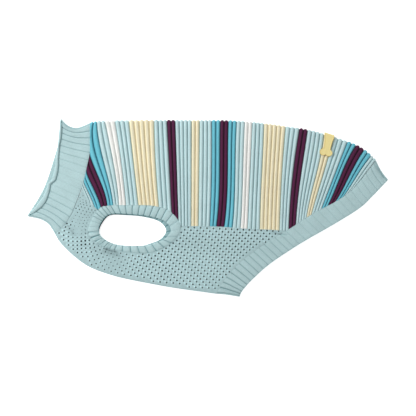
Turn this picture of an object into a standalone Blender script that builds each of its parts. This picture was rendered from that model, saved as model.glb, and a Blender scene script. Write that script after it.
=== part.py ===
"""Dog sweater vest, knitted, laid flat on its right side.

The neck is at -X, the rear at +X, the spine fold at +Y and the belly fold at -Y.
The right half lies on the surface at Z = 0 and the left half lies on it.
Every piece is a wall with an outer and an inner skin. Sizes are in millimetres
until a mesh is made, and meshes are in metres.
"""
import math

import bmesh
import bpy
from mathutils import Vector

MM = 0.001

# ---- Cloth -------------------------------------------------------------------
WALL = 1.8            # thickness of the knit between its ribs
LAYER_GAP = 0.8       # air between the two halves
HALF = WALL + LAYER_GAP / 2
SEAM_GAP = 0.3        # between two pieces that are sewn together
CORNER_GAP = 0.7      # trimmed from a seam where three pieces meet
CURVE_STEPS = 8       # points on a curve between two given ones
SEAM_POINTS, LONG_SEAM_POINTS = 60, 120   # on a seam that is cut from a longer curve
RIB_HEIGHT = 1.1      # body ribs
BAND_RIB_HEIGHT = 0.8   # ribs of collar, hem and armhole bands

# One rib from valley to valley: share of its width, share of its height.
RIB_PROFILE = ((0.30, 1.0), (0.70, 1.0))

# The fold at the spine or belly, between the near face (90) and the lying face (-90).
FOLD_ANGLES = (45, 0, -45)
RIB_FADE_FROM, RIB_FADE_TO = 0.0, -60.0   # ribs sink into the flat underside

# ---- Outline, as (x, y) along each edge ------------------------------------------
SPINE = ((-147.5, 107), (-122, 109), (-47, 109.5), (27, 109), (62, 106.5), (96, 102),
         (130, 96.5), (160, 87.5), (182.5, 80), (197.5, 71.5), (210.5, 59.5))
BELLY_FOLD = ((-192, -32), (-185, -43.5), (-170, -58.5), (-155, -70), (-140, -77.5),
              (-110, -87), (-57.5, -97.5), (-27.5, -102.5), (10.5, -107.5))
COLLAR_SEAM = ((-147.5, 107), (-147.5, 95), (-147.5, 83), (-147.5, 71), (-149.2, 62),
               (-151.5, 52), (-155.5, 34), (-163, 12), (-170, -5), (-178.5, -18.8), (-187, -28),
               (-192, -32))
COLLAR_MOUTH = ((-184.7, 112.6), (-187.8, 81), (-193.6, 59.5), (-200.6, 37.5),
                (-206, 24), (-214.2, 9), (-227, -10.3))
COLLAR_NAPE = ((-147.5, 107), (-155, 103.5), (-163, 100.8), (-170, 101.3), (-177.5, 105),
               (-184.7, 112.6))
COLLAR_THROAT = ((-192, -32), (-195, -27), (-200, -20), (-207.5, -15), (-215, -12.5),
                 (-227, -10.3))
HEM_SEAM = ((210.5, 59.5), (189, 32.5), (178, 21), (160, 8.5), (131, -7), (98, -28.3),
            (65.5, -49), (43, -66), (27, -82), (17.5, -95), (10.5, -107.5))
HEM_EDGE = ((225.6, 35.5), (205, 14), (190, 0), (160, -19), (115, -45), (77.5, -70),
            (55, -90), (46.2, -99.6), (41.6, -105.8), (39.5, -111.2))
HEM_TOP = ((210.5, 59.5), (214.6, 51), (219.5, 43), (225.6, 35.5))
HEM_FOOT = ((10.5, -107.5), (20, -108.2), (30, -109.7), (39.5, -111.2))
HEM_CORNER = (98, -28.3)              # where flank seam and hem seam meet
COLLAR_CORNER = (-157.5, 25)          # where shoulder seam and collar seam meet
SHOULDER_SEAM = (COLLAR_CORNER, (-153, 15.8), (-149, 7.6))    # on to the armhole
FLANK_SEAM = ((12, -23), (43, -25.5), (65.5, -26.5), HEM_CORNER)   # from the armhole

# Armhole band, once round: outer edge x and y, hole edge x and y.
ARMHOLE = (
    (-137.5, -2, -128, -11.5),      # meets the shoulder seam
    (-124.5, 3.2, -117.5, -7.5),
    (-96, 3.5, -96, -8),
    (-70, 3, -75, -10),
    (-47.5, -4, -55, -16),
    (-34, -22.5, -46.5, -27),       # meets the flank seam
    (-41.5, -40, -53, -37.5),
    (-58, -51, -65, -43),
    (-77, -56.5, -81.5, -47),
    (-115, -53, -112.5, -46),
    (-141, -42.5, -131.5, -37.5),
    (-150, -26, -136.5, -26),
)
ARMHOLE_TOP_ROWS = 6                # rows of the table that border the back panel
LYING_SHIFT = (-6, -1)              # the lying half's armhole, against the near one

# ---- Back panel ------------------------------------------------------------------
# A row for each stripe, neck to rear: colour, number of ribs, where its first
# valley meets the spine (crown) and the lower seam (foot), and how far that
# valley strays from the straight line at two thirds and one third of its height.
STRIPES = (
    # colour, ribs, crown, high, low, foot
    ("pale", 2, None, 0, 0, -152),
    ("aqua", 2, None, 0, 0, -142),
    ("plum", 2, None, 0, 0, -134),
    ("aqua", 2, -147.3, -9.5, -3.5, -126),
    ("pale", 2, -139, -2, 0, -118.5),
    ("white", 2, -129, 1.5, 2, -111.5),
    ("pale", 3, -116.5, 1, 1, -102.5),
    ("cream", 5, -99, 0, 0, -87),
    ("pale", 3, -67.5, -1, -1, -61.5),
    ("plum", 2, -51.5, 0, 0, -45.5),
    ("pale", 4, -41, 0, 0, -37),
    ("cream", 2, -20.5, 0, 0, -21),
    ("pale", 3, -10.5, 0, 0, -12),
    ("aqua", 2, 4.5, 1, 1, 2.2),
    ("plum", 2, 15.5, 1, 2, 10.6),
    ("aqua", 2, 25.5, 1, 2, 20.2),
    ("pale", 2, 36, 0, 1, 30.6),
    ("white", 2, 46, 0, 0.5, 40.6),
    ("pale", 3, 55.5, 0, 0, 49.5),
    ("cream", 5, 70, 0, -0.5, 65),
    ("pale", 3, 97, -1, -1, 89.5),
    ("plum", 2, 114.5, -2, -2, 101),
    ("pale", 4, 124.8, -1, -1.5, 110),
    ("cream", 2, 145.2, 1.5, 0, 123.5),
    ("pale", 3, 157, 0.5, 0, 129.6),
    ("aqua", 2, 174.5, 0, 0, 142),
    ("plum", 2, 185.5, -2, -0.5, 150),
    ("aqua", 2, 195.5, -1, 0, 159.7),
    ("pale", 2, 204.4, -1.2, -0.5, 170),
    ("end", 0, 210.3, 0, 0.6, 180),
)
# The ribs next to the neck start on the collar seam: valley number, height there.
NECK_VALLEYS = ((0, 25.7), (2, 35), (4, 49.5), (6, 75.5))
FIRST_SPINE_VALLEY = 6
BACK_ROWS = (0, 1 / 3, 2 / 3)       # shares of a rib's height that carry a row
NECK_ROW = 2                        # the row in which the neck ribs end

# ---- Belly panel -----------------------------------------------------------------
# Its upper edge in three stretches: number of columns, and the share of the
# belly fold at which the stretch ends.
SHOULDER_COLUMNS, SHOULDER_FOLD = 8, 0.07
ARMHOLE_COLUMNS, ARMHOLE_FOLD = 44, 0.81
FLANK_COLUMNS = 14
SHOULDER_END, UNDER_TRIM, FLANK_START = 0.97, 0.005, 0.01   # clear of the armhole band
BELLY_FOLD_POINTS = 80
# Columns beyond the shoulder and flank ones that still follow the curved neck and rear.
NECK_REACH, REAR_REACH = 4, 6
BELLY_ROWS = (0, 0.25, 0.5, 0.75)
SEAM_STEPS = 4                      # finer steps along the collar and hem seams

# ---- Collar, hem and armhole bands ---------------------------------------------------
COLLAR_RIBS = 16                    # on the side that shows
HEM_RIBS = 30
# How ribs share the length of a band: share of the ribs, share of the length.
EVEN = ((0, 0), (1, 1))
HEM_SPREAD = ((0, 0), (0.5, 0.55), (1, 1))
HEM_LEAN = 0.085                    # how much further along the edge its ribs end
END_DECAY = 5                       # how soon ribs straighten away from a curved fold
FOLD_DECAY = 10                     # how soon they stop giving way to the fold
ARMHOLE_RIBS = 34                   # once round
# Collar from seam to mouth: share of its height, lift of the curled edge.
COLLAR_ROWS = ((0, 0), (0.28, 0), (0.56, 0), (0.8, 0.1), (0.87, 1.1), (0.94, 1.5), (1, 0.6))
HEM_ROWS = ((0, 0), (0.45, 0), (0.92, 0), (1, -0.5))
INSIDE_FOLLOWS = 0.8                # how far the inner skin follows the curl
# Armhole band from seam to hole: share of its width, lift of its rounded section.
ARMHOLE_BAND_ROWS = ((0, 0), (0.3, 0.6), (0.75, 0.6), (1, -0.3))

# ---- Bone patch ------------------------------------------------------------------
BONE_VALLEY = 62.1                  # the rib valley along its middle
BONE_MIDDLE = 0.9                   # height of its middle on that rib, as a share
BONE_THICKNESS = 1.5
BONE_BORDER = 0.4                   # height of the moulded border
# From the spine down: distance, half width, in millimetres.
BONE_SHAPE = ((0, 5.6), (4, 5.0), (9, 4.8), (14.2, 5.0), (16.8, 7.8), (19.2, 8.8), (21.6, 8.0),
              (23.6, 5.6))
BONE_NOTCH = 1.6                    # how far the end between the knobs is cut back
NOTCH_WIDTH = 0.4                   # half of it, as a share of the half width
BORDER_FROM = 0.7                   # where the border begins, as a share of the half width
BONE_ACROSS = (-1, -0.72, -0.4, 0, 0.4, 0.72, 1)
BONE_ANGLES = (-20, 10, 40, 65)     # its turn over the spine, clear of the surface

# ---- Colours: linear red, green, blue, and roughness ---------------------------------
YARN = {
    "pale": (0.45, 0.62, 0.64, 0.9),
    "aqua": (0.06, 0.38, 0.52, 0.9),
    "plum": (0.06, 0.014, 0.045, 0.9),
    "white": (0.84, 0.84, 0.8, 0.9),
    "cream": (0.79, 0.71, 0.42, 0.9),
    "band": (0.42, 0.6, 0.61, 0.9),
    "straw": (0.76, 0.62, 0.22, 0.5),
}


def between(low, high, share):
    """A value or vector between two others."""
    return low + (high - low) * share


def from_table(table, column, position, key=0):
    """One column of a table, read between its rows at a position on the key column."""
    for row, following in zip(table, table[1:]):
        if position <= following[key]:
            share = (position - row[key]) / (following[key] - row[key])
            return between(row[column], following[column], share)
    return table[-1][column]


class Edge:
    """A smooth curve in the plane of the cloth, measured along its length."""

    def __init__(self, points):
        self.points = [Vector(point) for point in points]
        self.lengths = [0.0]
        for start, end in zip(self.points, self.points[1:]):
            self.lengths.append(self.lengths[-1] + (end - start).length)

    @property
    def length(self):
        """The whole length."""
        return self.lengths[-1]

    def at(self, share):
        """The point at a share of the length."""
        table = [(length, index) for index, length in enumerate(self.lengths)]
        place = from_table(table, 1, share * self.length)
        index = min(int(place), len(self.points) - 2)
        return between(self.points[index], self.points[index + 1], place - index)

    def at_coordinate(self, axis, value):
        """The point where x (axis 0) or y (axis 1) has a value."""
        for start, end in zip(self.points, self.points[1:]):
            low, high = sorted((start[axis], end[axis]))
            if low <= value <= high and high > low:
                return between(start, end, (value - start[axis]) / (end[axis] - start[axis]))
        ends = (self.points[0], self.points[-1])
        return min(ends, key=lambda point: abs(point[axis] - value)).copy()

    def moved(self, distance):
        """The same curve, moved to the left of its direction."""
        moved = []
        last = len(self.points) - 1
        for index, point in enumerate(self.points):
            along = self.points[min(index + 1, last)] - self.points[max(index - 1, 0)]
            moved.append(point + Vector((-along.y, along.x)).normalized() * distance)
        return Edge(moved)

    def part(self, start, end, steps=24):
        """A stretch between two shares of the length, or backwards."""
        return Edge([self.at(between(start, end, step / steps)) for step in range(steps + 1)])

    def share_at(self, point):
        """The share of the length at the point that lies nearest."""
        nearest = min(range(len(self.points)),
                      key=lambda index: (self.points[index] - Vector(point)).length)
        return self.lengths[nearest] / self.length


def smooth(points, closed=False, steps=CURVE_STEPS):
    """A Catmull-Rom curve through the points."""
    points = [Vector(point) for point in points]
    count = len(points)
    curve = []
    for index in range(count if closed else count - 1):
        if closed:
            a, b, c, d = (points[(index + step) % count] for step in (-1, 0, 1, 2))
        else:
            b, c = points[index], points[index + 1]
            a = points[index - 1] if index else b * 2 - c
            d = points[index + 2] if index + 2 < count else c * 2 - b
        for step in range(steps):
            t = step / steps
            curve.append(0.5 * (2 * b + (c - a) * t + (2 * a - 5 * b + 4 * c - d) * t * t
                                + (3 * b - a - 3 * c + d) * t ** 3))
    curve.append(points[0].copy() if closed else points[-1].copy())
    return Edge(curve)


def stray(edge, share):
    """How far a curve is from the straight line between its ends."""
    return edge.at(share) - between(edge.at(0), edge.at(1), share)


def join(*edges):
    """Several edges end to end."""
    return Edge([point for edge in edges for point in edge.points])


def rib_lift(share):
    """Height of a rib, as a share of its crest, at a share of its width."""
    return from_table(((0, 0),) + RIB_PROFILE + ((1, 0),), 1, share % 1.0)


# ---- The two-skin wall -------------------------------------------------------------

def wall(name, columns, rows, place, closed=False, ribbed=None, stepped=None,
         missing=None, paint=None):
    """A closed wall over a grid of columns and rows, with ribs on its outer skin only.

    place(column, row, outer) gives a point, also between columns and rows.
    ribbed(column, row) says whether the outer skin has a rib from there to the next
    column, and stepped(column, row) whether the edge to the next row has finer steps.
    missing(column, row) leaves cells out. paint(column) gives a column's material.
    """
    mesh = bmesh.new()
    made = {}
    cells = columns if closed else columns - 1

    def vertex(column, row, outer):
        key = (column % columns if closed else column, row, outer)
        if key not in made:
            made[key] = mesh.verts.new(Vector(place(*key)) * MM)
        return made[key]

    def along_row(column, row, outer):
        shares = [0, 1]
        if outer and ribbed and ribbed(column, row):
            shares[1:1] = [share for share, height in RIB_PROFILE]
        return [vertex(column + share, row, outer) for share in shares]

    def along_column(column, row, outer):
        steps = SEAM_STEPS if stepped and stepped(column, row) else 1
        return [vertex(column, row + step / steps, outer) for step in range(steps + 1)]

    def face(corners, column):
        made_face = mesh.faces.new(corners)
        made_face.material_index = paint(column) if paint else 0

    def strip(low, high, column):
        for corners in zip(low, low[1:], high[1:], high):
            face(corners, column)

    def skin(column, row, outer):
        low, high = along_row(column, row, outer), along_row(column, row + 1, outer)
        left, right = (along_column(column + side, row, outer) for side in (0, 1))
        if len(low) == len(high) and len(left) == len(right) == 2:
            strip(low, high, column)
        else:
            face(low + right[1:-1] + high[::-1] + left[-2:0:-1], column)

    def rim(path, column, *place_on_edge):
        above, below = (path(*place_on_edge, outer) for outer in (True, False))
        if len(above) == len(below):
            strip(above, below, column)
        else:
            face(above + below[::-1], column)

    def present(column, row):
        if closed:
            column %= columns
        inside = 0 <= column < cells and 0 <= row < rows - 1
        return inside and not (missing and missing(column, row))

    for column in range(cells):
        for row in range(rows - 1):
            if not present(column, row):
                continue
            skin(column, row, True)
            skin(column, row, False)
            for side in (0, 1):
                if not present(column, row + 2 * side - 1):
                    rim(along_row, column, column, row + side)
                if not present(column + 2 * side - 1, row):
                    rim(along_column, column, column + side, row)
    bmesh.ops.recalc_face_normals(mesh, faces=mesh.faces)
    return add_piece(name, mesh)


def entry(steps, place):
    """An entry (part, value) of a list, or a blend of two entries of one part."""
    index = int(place)
    part, value = steps[index]
    if place > index:
        value = between(value, steps[index + 1][1], place - index)
    return part, value


def add_piece(name, mesh):
    """An object in the garment's collection from a bmesh."""
    data = bpy.data.meshes.new(name)
    mesh.to_mesh(data)
    mesh.free()
    piece = bpy.data.objects.new(name, data)
    GARMENT.objects.link(piece)
    return piece


def turned(centre, outward, angle, lift, outer):
    """A point on the rounded fold between the near and the lying half."""
    fade = min(1, max(0, (angle - RIB_FADE_TO) / (RIB_FADE_FROM - RIB_FADE_TO)))
    radius = HALF + lift * fade if outer else LAYER_GAP / 2
    turn = math.radians(angle)
    flat = centre + outward * radius * math.cos(turn)
    return flat.x, flat.y, HALF + radius * math.sin(turn)


def layer(flat, half, lift, outer):
    """A point on the near or the lying half, away from the folds."""
    if half == "near":
        return flat.x, flat.y, 2 * HALF + lift if outer else 2 * HALF - WALL
    return flat.x, flat.y, 0 if outer else WALL


def folded_place(patch, rows, rib_height=0, unfolded=0):
    """Place a panel that is folded over: its rows run near half, fold, lying half.

    patch(half, column, share) gives the flat point, from the lower edge (0) to the
    outline of the garment (1). Columns before the one named unfolded end on a seam.
    """
    def to_fold(half, column):
        edge, foot = patch(half, column, 1), patch(half, column, 0)
        share = 1 - HALF / (edge - foot).length
        centre = patch(half, column, share)
        return share, centre, (edge - centre).normalized()

    def place(column, row, outer):
        lift = rib_height * rib_lift(column)
        part, value = entry(rows, row)
        if part != "fold":
            reach = to_fold(part, column)[0] if column >= unfolded else 1
            return layer(patch(part, column, value * reach), part, lift, outer)
        near, lying = to_fold("near", column), to_fold("lying", column)
        turn = (90 - value) / 180
        centre = between(near[1], lying[1], turn)
        return turned(centre, between(near[2], lying[2], turn), value, lift, outer)

    return place


def folded_rows(shares):
    """The rows of a folded panel, from its near edge round to its lying edge."""
    near = [("near", share) for share in shares + (1,)]
    fold = [("fold", angle) for angle in FOLD_ANGLES]
    lying = [("lying", share) for share in (1,) + shares[::-1]]
    return near + fold + lying


# ---- Seams that the pieces share -------------------------------------------------------

def armhole_edges(half):
    """Outer edge and hole edge of the armhole band, both once round."""
    shift = Vector(LYING_SHIFT if half == "lying" else (0, 0))
    outer = smooth([Vector(row[0:2]) + shift for row in ARMHOLE], closed=True)
    hole = smooth([Vector(row[2:4]) + shift for row in ARMHOLE], closed=True)
    return outer, hole


def armhole_top_share(outer):
    """The share of the band's outer edge at which the flank seam meets it."""
    return outer.lengths[CURVE_STEPS * (ARMHOLE_TOP_ROWS - 1)] / outer.length


def shoulder_and_flank(half):
    """The two side seams of one half, each meeting the armhole band."""
    outer = armhole_edges(half)[0]
    top = armhole_top_share(outer)
    shoulder = smooth(SHOULDER_SEAM + (tuple(outer.at(0)),))
    flank = smooth((tuple(outer.at(top)),) + FLANK_SEAM)
    return shoulder, flank


def back_foot(half):
    """Lower edge of the back panel: shoulder seam, armhole, flank seam, hem seam."""
    outer = armhole_edges(half)[0]
    shoulder, flank = shoulder_and_flank(half)
    over = outer.part(0, armhole_top_share(outer), SEAM_POINTS)
    hem = smooth(HEM_SEAM)
    rear = hem.part(hem.share_at(HEM_CORNER), 0, SEAM_POINTS)
    return join(shoulder, over, flank, rear).moved(SEAM_GAP / 2)


def belly_head(half):
    """Upper edge of the belly panel in its three stretches."""
    outer = armhole_edges(half)[0]
    shoulder, flank = shoulder_and_flank(half)
    under = outer.part(1, armhole_top_share(outer), LONG_SEAM_POINTS)
    trimmed = CORNER_GAP / shoulder.length, 1 - CORNER_GAP / flank.length
    return (shoulder.moved(-SEAM_GAP / 2).part(trimmed[0], SHOULDER_END),
            under.moved(-SEAM_GAP / 2).part(UNDER_TRIM, 1 - UNDER_TRIM, LONG_SEAM_POINTS),
            flank.moved(-SEAM_GAP / 2).part(FLANK_START, trimmed[1]))


# ---- Pieces ----------------------------------------------------------------------------

def valley_table():
    """A row for each stripe: valley number, crown, high, low, foot."""
    table = []
    valley = 0
    for _, ribs, crown, high, low, foot in STRIPES:
        table.append((valley, crown, high, low, foot))
        valley += ribs
    return table


def back_patch():
    """The flat points of the back panel, by half, valley number and share of height."""
    table = valley_table()
    spine_rows = [row for row in table if row[1] is not None]
    spine = smooth(SPINE)
    seam = smooth(COLLAR_SEAM).moved(SEAM_GAP / 2)
    feet = {half: back_foot(half) for half in ("near", "lying")}

    def foot_point(half, valley):
        return feet[half].at_coordinate(0, from_table(table, 4, valley))

    def patch(half, valley, share):
        foot = foot_point(half, valley)
        if valley < FIRST_SPINE_VALLEY:
            top = seam.at_coordinate(1, from_table(NECK_VALLEYS, 1, valley))
            return between(foot, top, share / BACK_ROWS[NECK_ROW])
        crown = spine.at_coordinate(0, from_table(spine_rows, 1, valley))
        point = between(foot, crown, share)
        strays = ((0, 0), (1 / 3, from_table(spine_rows, 3, valley)),
                  (2 / 3, from_table(spine_rows, 2, valley)), (1, 0))
        point.x += from_table(strays, 1, share)
        point.x = max(point.x, seam.at_coordinate(1, point.y).x)
        return point

    return patch


def make_back_panel():
    """Striped rib panel, folded over the spine."""
    rows = folded_rows(BACK_ROWS)
    place = folded_place(back_patch(), rows, RIB_HEIGHT, FIRST_SPINE_VALLEY)
    colours = list(dict.fromkeys(row[0] for row in STRIPES[:-1]))
    rib_colours = [colours.index(row[0]) for row in STRIPES for rib in range(row[1])]
    underside = rows.index(("fold", FOLD_ANGLES[-1]))

    def above_neck(column, row):
        return column < FIRST_SPINE_VALLEY and NECK_ROW <= row < len(rows) - 1 - NECK_ROW

    panel = wall("back_panel", len(rib_colours) + 1, len(rows), place,
                 ribbed=lambda column, row: row < underside,
                 missing=above_neck, paint=lambda column: rib_colours[column])
    for colour in colours:
        panel.data.materials.append(yarn(colour))
    return panel


def belly_patch():
    """The flat points of the belly panel, by half, column number and share of height."""
    counts = (SHOULDER_COLUMNS, ARMHOLE_COLUMNS, FLANK_COLUMNS)
    ends = (0, SHOULDER_FOLD, ARMHOLE_FOLD, 1)
    heads = {half: belly_head(half) for half in ("near", "lying")}
    fold = smooth(BELLY_FOLD)
    fold = fold.part(SEAM_GAP / fold.length, 1 - SEAM_GAP / fold.length, BELLY_FOLD_POINTS)
    collar = smooth(COLLAR_SEAM)
    neck = collar.part(collar.share_at(COLLAR_CORNER), 1).moved(SEAM_GAP / 2)
    hem = smooth(HEM_SEAM)
    rear = hem.part(hem.share_at(HEM_CORNER), 1).moved(-SEAM_GAP / 2)
    total = sum(counts)

    def head_and_fold(half, column):
        start = 0
        for count, head, low, high in zip(counts, heads[half], ends, ends[1:]):
            if column <= start + count:
                share = (column - start) / count
                return head.at(share), fold.at(between(low, high, share))
            start += count
        return heads[half][-1].at(1), fold.at(1)

    def patch(half, column, share):
        head, end = head_and_fold(half, column)
        by_neck = max(0, 1 - column / (SHOULDER_COLUMNS + NECK_REACH))
        by_rear = max(0, 1 - (total - column) / (FLANK_COLUMNS + REAR_REACH))
        return between(head, end, share) + stray(neck, share) * by_neck + stray(
            rear, share) * by_rear

    return patch, total


def make_belly_panel():
    """Openwork panel of chest and belly, folded along the belly line."""
    patch, total = belly_patch()
    rows = folded_rows(BELLY_ROWS)

    def on_seam(column, row):
        return column in (0, total) and rows[row][0] == rows[row + 1][0] != "fold"

    panel = wall("belly_panel", total + 1, len(rows), folded_place(patch, rows),
                 stepped=on_seam)
    panel.data.materials.append(yarn("band"))
    return panel


def tube_columns(ribs, spread):
    """Once round a flattened tube: near half by ribs, fold, lying half, fold."""
    places = [from_table(spread, 1, rib / ribs) for rib in range(ribs + 1)]
    near = [("near", place) for place in places]
    first = [("end", angle) for angle in FOLD_ANGLES]
    lying = [("lying", place) for place in places[::-1]]
    second = [("start", angle) for angle in FOLD_ANGLES[::-1]]
    return near + first + lying + second


def tube(name, seam, mouth, start, end, ribs, table, spread=EVEN, lean=0):
    """A flattened ribbed tube between its seam and its open edge.

    start and end are the two folds. table holds the rows: share of height, lift.
    spread shares the length among the ribs, and lean takes them further along the mouth.
    """
    def flat(across, up, clear=0.0):
        """A Coons patch between all four edges, clear of both folds by a distance."""
        leaned = across + lean * across ** 2 * (1 - across ** 10)
        foot, top = (line.at(share + clear / line.length * (
            (1 - share) ** FOLD_DECAY - share ** FOLD_DECAY))
            for line, share in ((seam, across), (mouth, leaned)))
        return (between(foot, top, up) + stray(start, up) * (1 - across) ** END_DECAY
                + stray(end, up) * across ** END_DECAY)

    columns = tube_columns(ribs, spread)

    def place(column, row, outer):
        part, value = entry(columns, column)
        up, raise_by = table[row]
        lift = BAND_RIB_HEIGHT * rib_lift(column) + raise_by
        if part in ("near", "lying"):
            x, y, z = layer(flat(value, up, HALF), part, lift, outer)
            inside_lift = INSIDE_FOLLOWS * max(0, raise_by) * math.sin(math.pi * value)
            return x, y, z if outer or part == "lying" else z + inside_lift
        side = 1 if part == "end" else 0
        centre = flat(side, up, HALF)
        outward = (flat(side, up) - centre).normalized()
        return turned(centre, outward, value, raise_by, outer)

    piece = wall(name, len(columns), len(table), place, closed=True,
                 ribbed=lambda column, row: column < ribs)
    piece.data.materials.append(yarn("band"))
    return piece


def make_collar():
    """Wide rib collar whose cut edge curls outwards."""
    return tube("collar", smooth(COLLAR_SEAM).moved(-SEAM_GAP / 2), smooth(COLLAR_MOUTH),
                smooth(COLLAR_NAPE), smooth(COLLAR_THROAT), COLLAR_RIBS, COLLAR_ROWS)


def make_hem_band():
    """Rib band round the slanted rear opening."""
    return tube("hem_band", smooth(HEM_SEAM).moved(SEAM_GAP / 2), smooth(HEM_EDGE),
                smooth(HEM_TOP), smooth(HEM_FOOT), HEM_RIBS, HEM_ROWS, HEM_SPREAD, HEM_LEAN)


def make_armhole_band(name, half):
    """Rib band sewn round one armhole."""
    outer, hole = armhole_edges(half)
    outer = outer.moved(-SEAM_GAP / 2)

    def place(column, row, outer_skin):
        around = column / ARMHOLE_RIBS
        across, raise_by = ARMHOLE_BAND_ROWS[row]
        flat = between(outer.at(around), hole.at(around), across)
        lift = BAND_RIB_HEIGHT * rib_lift(column) + raise_by
        return layer(flat, half, lift, outer_skin)

    band = wall(name, ARMHOLE_RIBS, len(ARMHOLE_BAND_ROWS), place, closed=True,
                ribbed=lambda column, row: half == "near")
    band.data.materials.append(yarn("band"))
    return band


def make_bone_patch():
    """Bone-shaped patch, moulded with a border and folded over the spine."""
    patch = back_patch()
    height = (patch("near", BONE_VALLEY, 1) - patch("near", BONE_VALLEY, 0)).length
    beside = (patch("near", BONE_VALLEY + side, BONE_MIDDLE) for side in (0, 1))
    pitch = (next(beside) - next(beside)).length
    rows = [("fold", angle) for angle in BONE_ANGLES] + [("down", row[0]) for row in BONE_SHAPE]
    length = BONE_SHAPE[-1][0]

    def place(column, row, outer):
        part, value = rows[row]
        across = BONE_ACROSS[column]
        on_border = abs(across) > BORDER_FROM or value == length
        lift = RIB_HEIGHT + SEAM_GAP
        if outer:
            lift += BONE_THICKNESS + BONE_BORDER * on_border
        down = 0 if part == "fold" else value
        valley = BONE_VALLEY + across * from_table(BONE_SHAPE, 1, down) / pitch
        if part == "down":
            notch = BONE_NOTCH * max(0, 1 - abs(across) / NOTCH_WIDTH) * (down / length) ** 4
            flat = patch("near", valley, 1 - (HALF + down - notch) / height)
            return flat.x, flat.y, 2 * HALF + lift
        centre = patch("near", valley, 1 - HALF / height)
        outward = (patch("near", valley, 1) - centre).normalized()
        reach = HALF + lift
        turn = math.radians(value)
        flat = centre + outward * reach * math.cos(turn)
        return flat.x, flat.y, HALF + reach * math.sin(turn)

    bone = wall("bone_patch", len(BONE_ACROSS), len(rows), place)
    bone.data.materials.append(yarn("straw"))
    return bone


def yarn(name):
    """A Principled material in one of the garment's colours, made once."""
    if name in bpy.data.materials:
        return bpy.data.materials[name]
    red, green, blue, roughness = YARN[name]
    material = bpy.data.materials.new(name)
    material.use_nodes = True
    material.diffuse_color = (red, green, blue, 1)
    shader = material.node_tree.nodes["Principled BSDF"]
    shader.inputs["Base Color"].default_value = (red, green, blue, 1)
    shader.inputs["Roughness"].default_value = roughness
    shader.inputs["Metallic"].default_value = 0
    return material


for old in list(bpy.data.objects):
    bpy.data.objects.remove(old)
GARMENT = bpy.data.collections.new("dog_sweater_vest")
bpy.context.scene.collection.children.link(GARMENT)

make_back_panel()
make_belly_panel()
make_collar()
make_hem_band()
make_armhole_band("armhole_band_left", "near")
make_armhole_band("armhole_band_right", "lying")
make_bone_patch()
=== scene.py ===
# %% [markdown]
# # A striped dog vest, knitted and laid flat
#
# The vest lies on its right side and is seen from straight above. Its solids were
# modelled first, as thick plain walls. This script dresses them: each wall gets a
# finer skin with every rib, eyelet and curl of the knit, and a wool-like finish.
# All sizes are in millimetres until a mesh is made, and meshes are in metres.

import math
from functools import partial

import bpy
import numpy as np
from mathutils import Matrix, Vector
from mathutils.geometry import delaunay_2d_cdt


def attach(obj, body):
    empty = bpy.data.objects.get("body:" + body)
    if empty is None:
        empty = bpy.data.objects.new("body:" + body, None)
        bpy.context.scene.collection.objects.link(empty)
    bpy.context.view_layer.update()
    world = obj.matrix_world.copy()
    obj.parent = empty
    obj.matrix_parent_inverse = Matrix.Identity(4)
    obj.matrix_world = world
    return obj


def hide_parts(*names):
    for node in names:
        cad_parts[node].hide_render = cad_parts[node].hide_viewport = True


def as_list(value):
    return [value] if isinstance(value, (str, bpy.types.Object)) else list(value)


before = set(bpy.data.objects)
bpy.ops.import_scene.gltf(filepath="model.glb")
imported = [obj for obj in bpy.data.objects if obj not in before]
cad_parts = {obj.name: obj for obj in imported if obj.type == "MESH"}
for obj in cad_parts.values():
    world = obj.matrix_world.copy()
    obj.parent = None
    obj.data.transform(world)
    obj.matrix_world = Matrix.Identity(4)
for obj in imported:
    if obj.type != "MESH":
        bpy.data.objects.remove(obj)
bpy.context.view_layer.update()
print("Solids:", sorted(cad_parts))

# %% [markdown]
# ## How thick the cloth is
#
# The vest is a flattened tube, so there are two layers with a little air between
# them: the lying half on the surface, and the near half on top of it. A rib knit is
# full of ridges. On the body they are round with deep valleys, and on the bands
# they are broad and flat with narrow grooves.

# %% Cloth sizes
MM = 0.001
WALL = 1.8  # knit between its ribs
LAYER_GAP = 0.8  # air between the two halves
HALF = WALL + LAYER_GAP / 2
TOP = 2 * HALF  # upper face of the near half
SEAM_GAP = -0.16  # pieces lap a little, so that no light comes through a seam
CORNER_GAP = 0.1
RIB_HEIGHT = 1.15  # crest of a body rib above the wall
VALLEY_DEPTH = 1.1  # valley between two body ribs, below the wall's face
BAND_RIB = 0.45  # crest of a band rib above the wall
GROOVE_DEPTH = 0.75  # groove between two band ribs
LOOP = 1.6  # length of one knitted loop
RIB_FADE_FROM, RIB_FADE_TO = 0.0, -60.0  # ribs sink into the flat underside
FOLD_ANGLES = np.array((68, 45, 22, 0, -22, -45, -68))
print(f"Two layers: {TOP:.1f} mm, and {TOP + RIB_HEIGHT:.2f} mm on the crests")

# %% [markdown]
# ## Lines in the plane of the cloth
#
# Seams and folds are smooth lines through a few measured points. A Catmull-Rom
# curve passes through all of them, so the points can be read straight from the
# garment. Bezier curves would need handles as well. NumPy reads many places along
# a line at once, which keeps the fine meshes quick.

# %% Values, directions and lengths
def between(low, high, share):
    """A value or point between two others."""
    return low + (high - low) * share


def read(table, place, column=1):
    """Values from a short table, whose first column holds the places."""
    table = np.asarray(table, float)
    return np.interp(place, table[:, 0], table[:, column])


def unit(vectors):
    """The same directions, each of length 1."""
    return vectors / np.maximum(np.linalg.norm(vectors, axis=-1, keepdims=True), 1e-9)


def run_along(points):
    """How far each point of a grid lies along its column."""
    steps = np.linalg.norm(np.diff(points, axis=1), axis=2)
    return np.concatenate((np.zeros((len(points), 1)), np.cumsum(steps, axis=1)), axis=1)


# %% A line through many points
NUDGE = 0.003  # share of the length, to find a direction


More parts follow.
